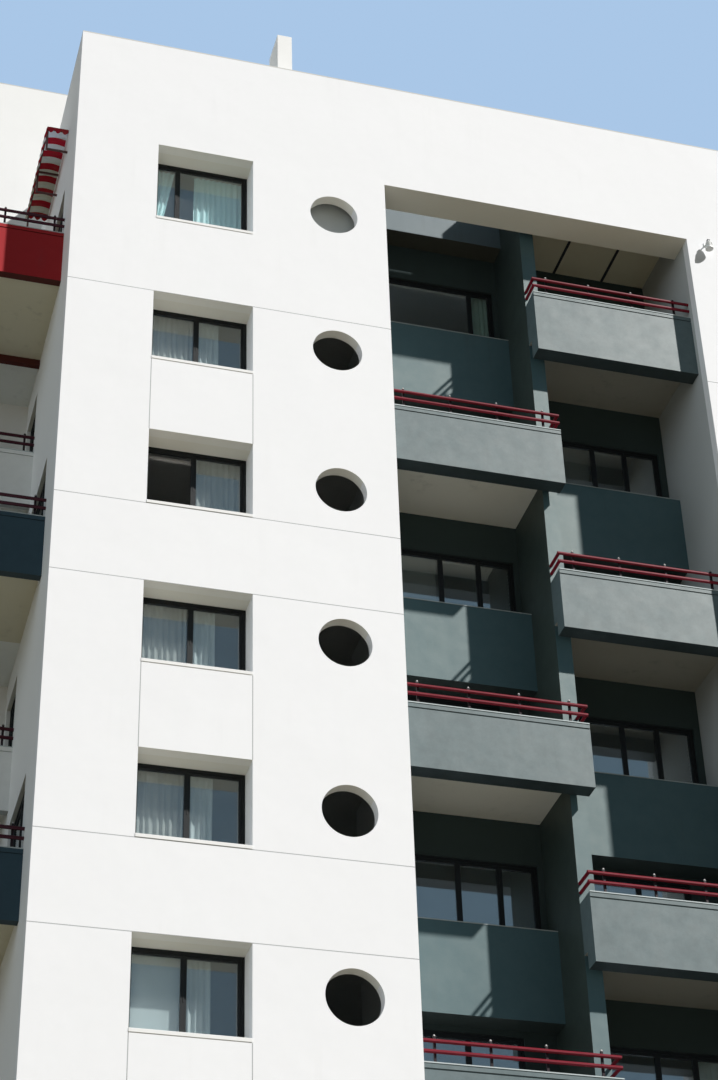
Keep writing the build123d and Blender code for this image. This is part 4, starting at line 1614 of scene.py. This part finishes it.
@dataclass
class Copings:
    """Mortar copings on the balcony parapets, nosings on the spandrels and cappings on the roof."""

    thick: float = 0.018
    lap: float = 0.008
    fall: float = 1.35
    nosing: Span = (0.06, 0.014)
    roof_thick: float = 0.03

    def strip(
        self, piece: Piece, start: Point, end: Point, wide: float, thick: float, lap: float = 0.0
    ) -> None:
        """Adds one coping with a fall to both sides.

        Args:
            piece: the piece that it becomes part of.
            start: start of the parapet's edge, at its top.
            end: end of that edge.
            wide: thickness of the parapet, across from the edge.
            thick: thickness of the coping at its edges.
            lap: how far it stands past the parapet.
        """
        ridge = (wide / 2, thick * self.fall)
        section = [(-lap, 0.0), (wide + lap, 0.0), (wide + lap, thick), ridge, (-lap, thick)]
        piece.profile(section, start, end)

    def across(self, piece: Piece, span: Span, y: float, z: float, *size: float) -> None:
        """Adds one coping that runs along X, with the sizes that a strip has."""
        self.strip(piece, (span[0], y, z), (span[1], y, z), *size)

    def back(self, piece: Piece, outer: float, span: Span, z: float, wide: float, thick: float) -> None:
        """Adds one coping that runs along Y, inwards from an outer face."""
        low = min(outer, outer - math.copysign(wide, outer))
        self.strip(piece, (low, span[0], z), (low, span[1], z), wide, thick)

    def build(self) -> None:
        """Makes every coping."""
        self.recess()
        for side, word in WORDS.items():
            self.wing(side, word)
        self.roof()

    def recess(self) -> None:
        """Makes the copings of the recess balconies, and the pale nosings under the set-back windows."""
        lips, nosings = Piece("recess_copings"), Piece("spandrel_nosings")
        size = (PLAN.parapet_thick, self.thick, self.lap)
        for side in WORDS:
            wall = side * PLAN.half_recess
            for k in PLAN.balconies(side):
                span = (wall, PLAN.pier_far(side))
                self.across(lips, span, PLAN.balcony_front, PLAN.sill(k), *size)
            for k in PLAN.balconies(-side):
                span = (wall, PLAN.pier_far(-side))
                self.across(nosings, span, PLAN.spandrel_front, PLAN.sill(k), *self.nosing, self.lap)
        lips.finished(Finishes.CAP_EDGE, "concrete")
        nosings.finished(Finishes.CAP_EDGE, "concrete")

    def wing(self, side: int, word: str) -> None:
        """Makes the copings of one wing's balconies, along their fronts and their outer ends.

        Args:
            side: which wing.
            word: its name.
        """
        piece = Piece(f"wing_copings_{word}")
        size = (PLAN.parapet_thick, self.thick)
        inner, outer = side * PLAN.half_front, side * PLAN.half_block
        for k in PLAN.wing_storeys:
            line, z = PLAN.wing_front(k), PLAN.sill(k)
            self.across(piece, (inner, outer), line, z, *size)
            self.back(piece, outer, (line + PLAN.parapet_thick, PLAN.setback), z, *size)
        piece.finished(Finishes.CAP_EDGE, "concrete")

    def roof(self) -> None:
        """Makes the cappings of the roof parapets."""
        piece = Piece("roof_cappings")
        wall, size = PLAN.wall, (PLAN.wall, self.roof_thick)
        edges = (-PLAN.half_front, -PLAN.half_recess, PLAN.half_recess, PLAN.half_front)
        for a, b, wide in zip(edges, edges[1:], (wall, PLAN.beam_deep, wall)):
            self.across(piece, (a, b), PLAN.front, PLAN.parapet_top, wide, self.roof_thick)
        for y in (PLAN.setback, PLAN.rear - wall):
            self.across(piece, (-PLAN.half_block, PLAN.half_block), y, PLAN.rear_top, *size)
        for side in WORDS:
            span = (PLAN.front + wall, PLAN.setback)
            self.back(piece, side * PLAN.half_front, span, PLAN.parapet_top, *size)
            span = (PLAN.setback + wall, PLAN.rear - wall)
            self.back(piece, side * PLAN.half_block, span, PLAN.rear_top, *size)
        piece.finished(Finishes.ROOF_CAP, "white_plaster")


@dataclass
class RailFittings:
    """Caps and base plates of the railing posts."""

    cap: float = 0.023
    cap_high: float = 0.03
    cap_lap: float = 0.004
    plate: float = 0.045
    plate_thick: float = 0.032
    plate_lap: float = 0.002

    def places(self) -> list[tuple[float, float, int]]:
        """Where every post stands.

        Returns:
            X, Y and storey of each post.
        """
        half = PLAN.parapet_thick / 2
        found = []
        for side in WORDS:
            free = PLAN.pier_far(side) + side * PLAN.post_inset
            end = side * (PLAN.half_recess - PLAN.post_inset)
            across = spaced(free, end, side * PLAN.post_bay)
            found += [(x, PLAN.balcony_front + half, k) for k in PLAN.balconies(side) for x in across]
        for side in WORDS:
            outer = side * (PLAN.half_block - half)
            inner = side * (PLAN.half_front + PLAN.wing_post_inset)
            for k in PLAN.wing_storeys:
                line = PLAN.wing_front(k) + half
                found += [(inner + side * PLAN.wing_post_bay * n, line, k) for n in range(PLAN.wing_posts)]
                last = PLAN.setback - PLAN.wing_post_inset
                found += [(outer, y, k) for y in spaced(line + PLAN.post_inset, last, PLAN.end_post_bay)]
        return found

    def build(self) -> None:
        """Makes the caps and the base plates."""
        caps, plates, half = Piece("rail_post_caps"), Piece("rail_base_plates"), self.plate
        for x, y, k in self.places():
            foot = PLAN.sill(k)
            top = foot + PLAN.post_rise - self.cap_lap
            caps.cone((x, y, top), self.cap, self.cap / 2, self.cap_high, 8)
            low = (x - half, y - half, foot - self.plate_lap)
            plates.block(low, (x + half, y + half, foot + self.plate_thick))
        caps.finished(Finishes.POST_CAP, "grey_metal")
        plates.finished(Finishes.RAIL, "rail_paint")


@dataclass
class Awning:
    """The striped cloth over the top side door of the left wing: roof, ends and scalloped valances."""

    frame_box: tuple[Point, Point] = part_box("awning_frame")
    proud: float = 0.014
    off_wall: float = 0.006
    valance: float = 0.26
    end_high: float = 0.13
    scallop: float = 0.17
    end_scallops: int = 3
    bite: float = 0.12
    end_bite: float = 0.072
    pleat: float = 0.05
    end_pleat: float = 0.0125
    settle: float = 0.1
    puff: float = 0.035
    bend: float = 0.07

    def build(self) -> None:
        """Makes the roof cloth with its long valance, and the cloth of both ends."""
        low, high = self.frame_box
        edges = (low[1] - self.proud, high[1] + self.proud)
        self.roof(*edges)
        for number, y in enumerate(edges):
            self.end(number, y)

    def hung(self, piece: Piece, flat: Span, rests_on: list[str]) -> None:
        """Ends one cloth.

        Args:
            piece: the cloth.
            flat: its flat size; not used.
            rests_on: names of what holds it; not used.
        """
        area = piece.area()
        cloth = piece.finished(Finishes.AWNING, "grey_metal", smooth=True)

    def roof(self, y0: float, y1: float) -> None:
        """Makes the roof and the long valance as one sheet, bent over the outer bar.

        Args:
            y0: place of one end along the wall.
            y1: place of the other end.
        """
        low, high = self.frame_box
        reach = high[0] - self.off_wall - low[0] + self.proud
        length = reach + self.valance
        place = Matrix.Translation((length / 2, (y0 + y1) / 2, 0.0))
        place = place @ Matrix.Diagonal((length, y1 - y0, 1.0, 1.0))
        piece = Piece("awning_cloth")
        columns = round((y1 - y0) / self.scallop) * 8
        bmesh.ops.create_grid(piece.mesh, x_segments=24, y_segments=columns, size=0.5, matrix=place)
        for vert in piece.mesh.verts:
            run, y = vert.co.x, vert.co.y
            wave = abs(math.sin(math.pi * (y - y0) / self.scallop))
            if run > reach:
                run -= self.bite * (1.0 - wave) * (run - reach) / self.valance
            vert.co = self.bent(run, y, reach, wave)
        self.hung(piece, (y1 - y0, length), ["awning_frame"])

    def bent(self, run: float, y: float, reach: float, wave: float) -> Vector:
        """Where a point of the flat cloth lies once it is bent over the outer bar.

        Args:
            run: distance from the wall along the cloth.
            y: place along the wall.
            reach: distance from the wall to the outer bar.
            wave: 1 in the middle of a scallop and 0 between scallops.

        Returns:
            The point.
        """
        high = self.frame_box[1]
        wall, top = high[0] - self.off_wall, high[2] + self.proud
        flat = reach - self.bend
        arc = self.bend * math.pi / 2
        if run <= flat:
            return Vector((wall - run, y, top + self.puff * wave * math.sin(math.pi * run / flat)))
        if run <= flat + arc:
            turn = (run - flat) / self.bend
            out, down = self.bend * math.sin(turn), self.bend * (1.0 - math.cos(turn))
            return Vector((wall - flat - out, y, top - down))
        fall = run - flat - arc
        out = self.pleat * (wave - 0.5) * min(1.0, fall / self.settle)
        return Vector((wall - reach - out, y, top - self.bend - fall))

    def end(self, number: int, y: float) -> None:
        """Makes the cloth of one end: a straight panel with a scalloped edge.

        Args:
            number: which end.
            y: its place along the wall.
        """
        low, high = self.frame_box
        x0, x1 = low[0], high[0] - self.off_wall
        top, tall = high[2] + self.proud - 0.004, self.end_high
        piece = Piece(f"awning_end_{number}")
        for vert in piece.flat((x0, x1), y, top - tall, top, columns=24, rows=6):
            drop = (top - vert.co.z) / tall
            wave = abs(math.sin(math.pi * (vert.co.x - x0) / (x1 - x0) * self.end_scallops))
            vert.co.z += self.end_bite * (1.0 - wave) * drop ** 2
            vert.co.y += self.end_pleat * (wave - 0.5) * drop
        self.hung(piece, (x1 - x0, tall), ["awning_frame", "awning_cloth"])


@dataclass
class Floodlight:
    """The small white floodlight on the right bay: a ribbed drum on an arm from its wall plate."""

    x: float = 3.365
    z: float = 29.76
    out: float = 0.13
    head: float = 0.072
    tall: float = 0.15
    plate: float = 0.045
    plate_in: float = 0.012
    arm: float = 0.014
    ribs: int = 4
    rib_foot: float = 0.05
    rib_bay: float = 0.026
    clamp: float = 0.028

    def build(self) -> None:
        """Makes the lamp's plate, arm, drum with cooling ribs, rim, lens and bracket."""
        x, y, z, head, top = self.x, PLAN.front - self.out, self.z, self.head, self.z + self.tall
        body = Piece("floodlight")
        half = self.plate
        body.block((x - half, PLAN.front - 0.015, top), (x + half, PLAN.front, top + 2 * half), 0.005)
        start, long = (x, PLAN.front - self.plate_in, top + half), self.out - self.plate_in
        body.cone(start, self.arm, self.arm, long, 10, QUARTER_X)
        body.cone((x, y, z), head, head * 0.72, self.tall, 24)
        body.cone((x, y, top), head * 0.5, head * 0.3, 0.05, 16)
        for step in range(self.ribs):
            low = head * (1.0 - 0.2 * step / self.ribs)
            body.cone((x, y, z + self.rib_foot + self.rib_bay * step), low, head * 0.8, 0.006, 24)
        body.cone((x, y, z - 0.012), head * 1.08, head * 1.08, 0.03, 24)
        body.finished(Finishes.WHITE_ENAMEL, "grey_metal")
        lens = Piece("floodlight_lens")
        lens.cone((x, y, z - 0.018), head * 0.85, head * 0.98, 0.008, 24)
        lens.finished(Finishes.LAMP_GLASS, "glass")
        clamp, half = Piece("floodlight_clamp"), self.clamp
        clamp.block((x - half, y - half, top + 0.05), (x + half, y + half, top + 0.066), 0.003)
        clamp.finished(Finishes.STEEL, "grey_metal")


@dataclass
class CanopyJoints:
    """Dark beams under the canopy over the top right balcony, at its plank joints."""

    at: Span = (1.12, 2.118)
    wide: float = 0.05
    deep: float = 0.012
    short: float = 0.01

    def build(self) -> None:
        """Makes the joint strips."""
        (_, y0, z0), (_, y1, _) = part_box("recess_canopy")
        piece = Piece("canopy_joints")
        for x in self.at:
            low = (x - self.wide / 2, y0 + self.short, z0 - self.deep)
            piece.block(low, (x + self.wide / 2, y1 - self.short, z0))
        piece.finished(Finishes.DARK_GAP, "concrete")


# The block's own nodes ----------------------------------------------------------------------------


class Walls:
    """Dresses the frame's own nodes in their finishes."""

    finishes: ClassVar[dict[Finish, tuple[str, ...]]] = {
        Finishes.FRONT_GLASS: ("front_glass",),
        Finishes.RECESS_GLASS: ("recess_glass",),
        Finishes.GLASS: ("rear_glass", "side_door_glass", "wing_glass"),
        Finishes.RAIL: ("railings", "wing_railings"),
        Finishes.WHITE: ("front_wall", "top_beam"),
        Finishes.PLAIN_WHITE: (
            "window_liners", "roof_fins", "wing_wall", "end_walls", "rear_wall", "upper_front_wall",
            "side_wall",
        ),
        Finishes.RECESS_SIDE_SHADE: ("recess_sides",),
        Finishes.CANOPY: ("recess_canopy",),
        Finishes.ROOF_EDGE: ("roof_edge_wall",),
        Finishes.SHADED_SLATE: ("recess_back", "entrance_wall"),
        Finishes.PIER: ("recess_pier",),
        Finishes.SLATE: ("spandrels",),
        Finishes.BALCONY: ("balconies",),
        Finishes.PALE_BALCONY: ("short_balconies",),
        Finishes.WING_BALCONY: ("deep_balconies",),
        Finishes.AWNING_STEEL: ("awning_frame",),
    }

    def finish_of(self, name: str) -> Finish:
        """The finish of one node, by the start of its name; floors and flat roofs are bare concrete."""
        found = (finish for finish, starts in self.finishes.items() if name.startswith(starts))
        return next(found, Finishes.CONCRETE)

    def dress(self) -> None:
        """Gives every node its material."""
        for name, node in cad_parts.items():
            finish = self.finish_of(name)
            node.data.materials.clear()
            node.data.materials.append(finish.material())
            log.info("%s in %s", name, finish.name)


# Studio -------------------------------------------------------------------------------------------


@dataclass(frozen=True)
class Lamp:
    """One distant lamp: the way that its light travels, its strength, its width in degrees, its colour."""

    name: str
    way: Point
    strength: float
    soft: float
    colour: Colour = (0.84, 0.94, 1.0)

    def hang(self) -> None:
        """Hangs the lamp."""
        light = bpy.data.lights.new(self.name, "SUN")
        light.energy = self.strength
        light.angle = math.radians(self.soft)
        light.color = self.colour
        made = bpy.data.objects.new(self.name, light)
        made.rotation_mode = "QUATERNION"
        made.rotation_quaternion = Vector(self.way).to_track_quat("-Z", "Y")
        bpy.context.scene.collection.objects.link(made)


@dataclass
class Studio:
    """The floor, the light and the camera."""

    lamps: ClassVar[tuple[Lamp, ...]] = (
        Lamp("key", (-1.19, 1.0, -1.478), 5.6, 1.2, (1.0, 0.985, 0.965)),
        Lamp("side", (0.93, 0.33, -0.05), 0.80, 40.0),
        Lamp("back", (0.0, -1.0, -0.1), 1.6, 8.0),
    )
    fill: Colour = (0.46, 0.64, 0.85)
    fill_strength: float = 0.125
    backdrop: Colour = (0.40, 0.57, 0.80)
    mirrored: Colour = (0.19, 0.28, 0.36)
    floor_pale: Colour = (0.60, 0.68, 0.76)
    floor_dark: Colour = (0.185, 0.165, 0.115)
    floor_half: float = 400.0
    eye: Point = (-12.410, -35.618, 0.10)
    yaw: float = -16.66731
    pitch: float = 35.63008
    roll: float = 1.84807
    focal: float = 2302.367
    image: tuple[int, int] = (718, 1080)
    sensor: float = 36.0
    sight: Span = (0.1, 2000.0)

    def build(self) -> None:
        """Sets up everything around the block."""
        self.floor()
        self.world()
        for lamp in self.lamps:
            lamp.hang()
        self.camera()

    def floor(self) -> None:
        """Lays the pale floor, which throws back less light than it shows."""
        mesh = bmesh.new()
        bmesh.ops.create_grid(mesh, x_segments=1, y_segments=1, size=self.floor_half)
        data = bpy.data.meshes.new("floor")
        mesh.to_mesh(data)
        mesh.free()
        graph = Graph("pale_floor")
        path = graph.add("ShaderNodeLightPath").outputs
        seen = graph.most(path["Is Camera Ray"], path["Is Glossy Ray"], path["Is Transmission Ray"])
        colour = graph.mix(seen, self.floor_dark, self.floor_pale)
        colour = graph.varied(colour, 0.02, graph.noise(Grain.GROUND))
        data.materials.append(graph.surface(colour, 0.9, Specular_IOR_Level=0.0))
        made = bpy.data.objects.new("floor", data)
        bpy.context.scene.collection.objects.link(made)

    def world(self) -> None:
        """Sets the soft fill, and the pale backdrop that the camera, glass and gloss see."""
        world = bpy.data.worlds.new("studio")
        bpy.context.scene.world = world
        world.use_nodes = True
        nodes = Nodes(world.node_tree)
        skies = ((self.fill, self.fill_strength), (self.mirrored, 1.0), (self.backdrop, 1.0))
        fill, mirrored, backdrop = (
            nodes.add("ShaderNodeBackground", Color=colour, Strength=strength).outputs[0]
            for colour, strength in skies
        )
        path = nodes.add("ShaderNodeLightPath").outputs
        light = nodes.blend(path["Is Glossy Ray"], fill, mirrored)
        seen = nodes.most(path["Is Camera Ray"], path["Is Transmission Ray"])
        nodes.add("ShaderNodeOutputWorld", Surface=nodes.blend(seen, light, backdrop))

    def camera(self) -> None:
        """Stands the camera where the photograph was taken, low in front on the left."""
        level = Matrix(((1, 0, 0), (0, 0, -1), (0, 1, 0)))
        yaw = Matrix.Rotation(math.radians(-self.yaw), 3, "Z")
        pitch = Matrix.Rotation(math.radians(-self.pitch), 3, "X")
        roll = Matrix.Rotation(math.radians(-self.roll), 3, "Z")
        rows = roll @ pitch @ (level @ yaw)
        turn = Matrix((rows[0], -rows[1], -rows[2])).transposed()
        data = bpy.data.cameras.new("camera")
        data.sensor_width = self.sensor
        data.lens = self.focal * self.sensor / max(self.image)
        data.clip_start, data.clip_end = self.sight
        made = bpy.data.objects.new("camera", data)
        made.matrix_world = Matrix.Translation(self.eye) @ turn.to_4x4()
        bpy.context.scene.collection.objects.link(made)
        bpy.context.scene.camera = made
        bpy.context.scene.view_settings.view_transform = "Standard"


def main() -> None:
    """Builds the studio, then the block's finishes and pieces in order."""
    logging.basicConfig(level=logging.INFO, format="%(name)s: %(message)s")
    Studio().build()
    Walls().dress()
    for assembly in (
        FrontWindows(),
        RecessWindows(),
        WingDoors(),
        RearWindows(),
        Copings(),
        RailFittings(),
        Awning(),
        Floodlight(),
        CanopyJoints(),
    ):
        log.info("building %s", type(assembly).__name__)
        assembly.build()


if __name__ == "__main__":
    main()
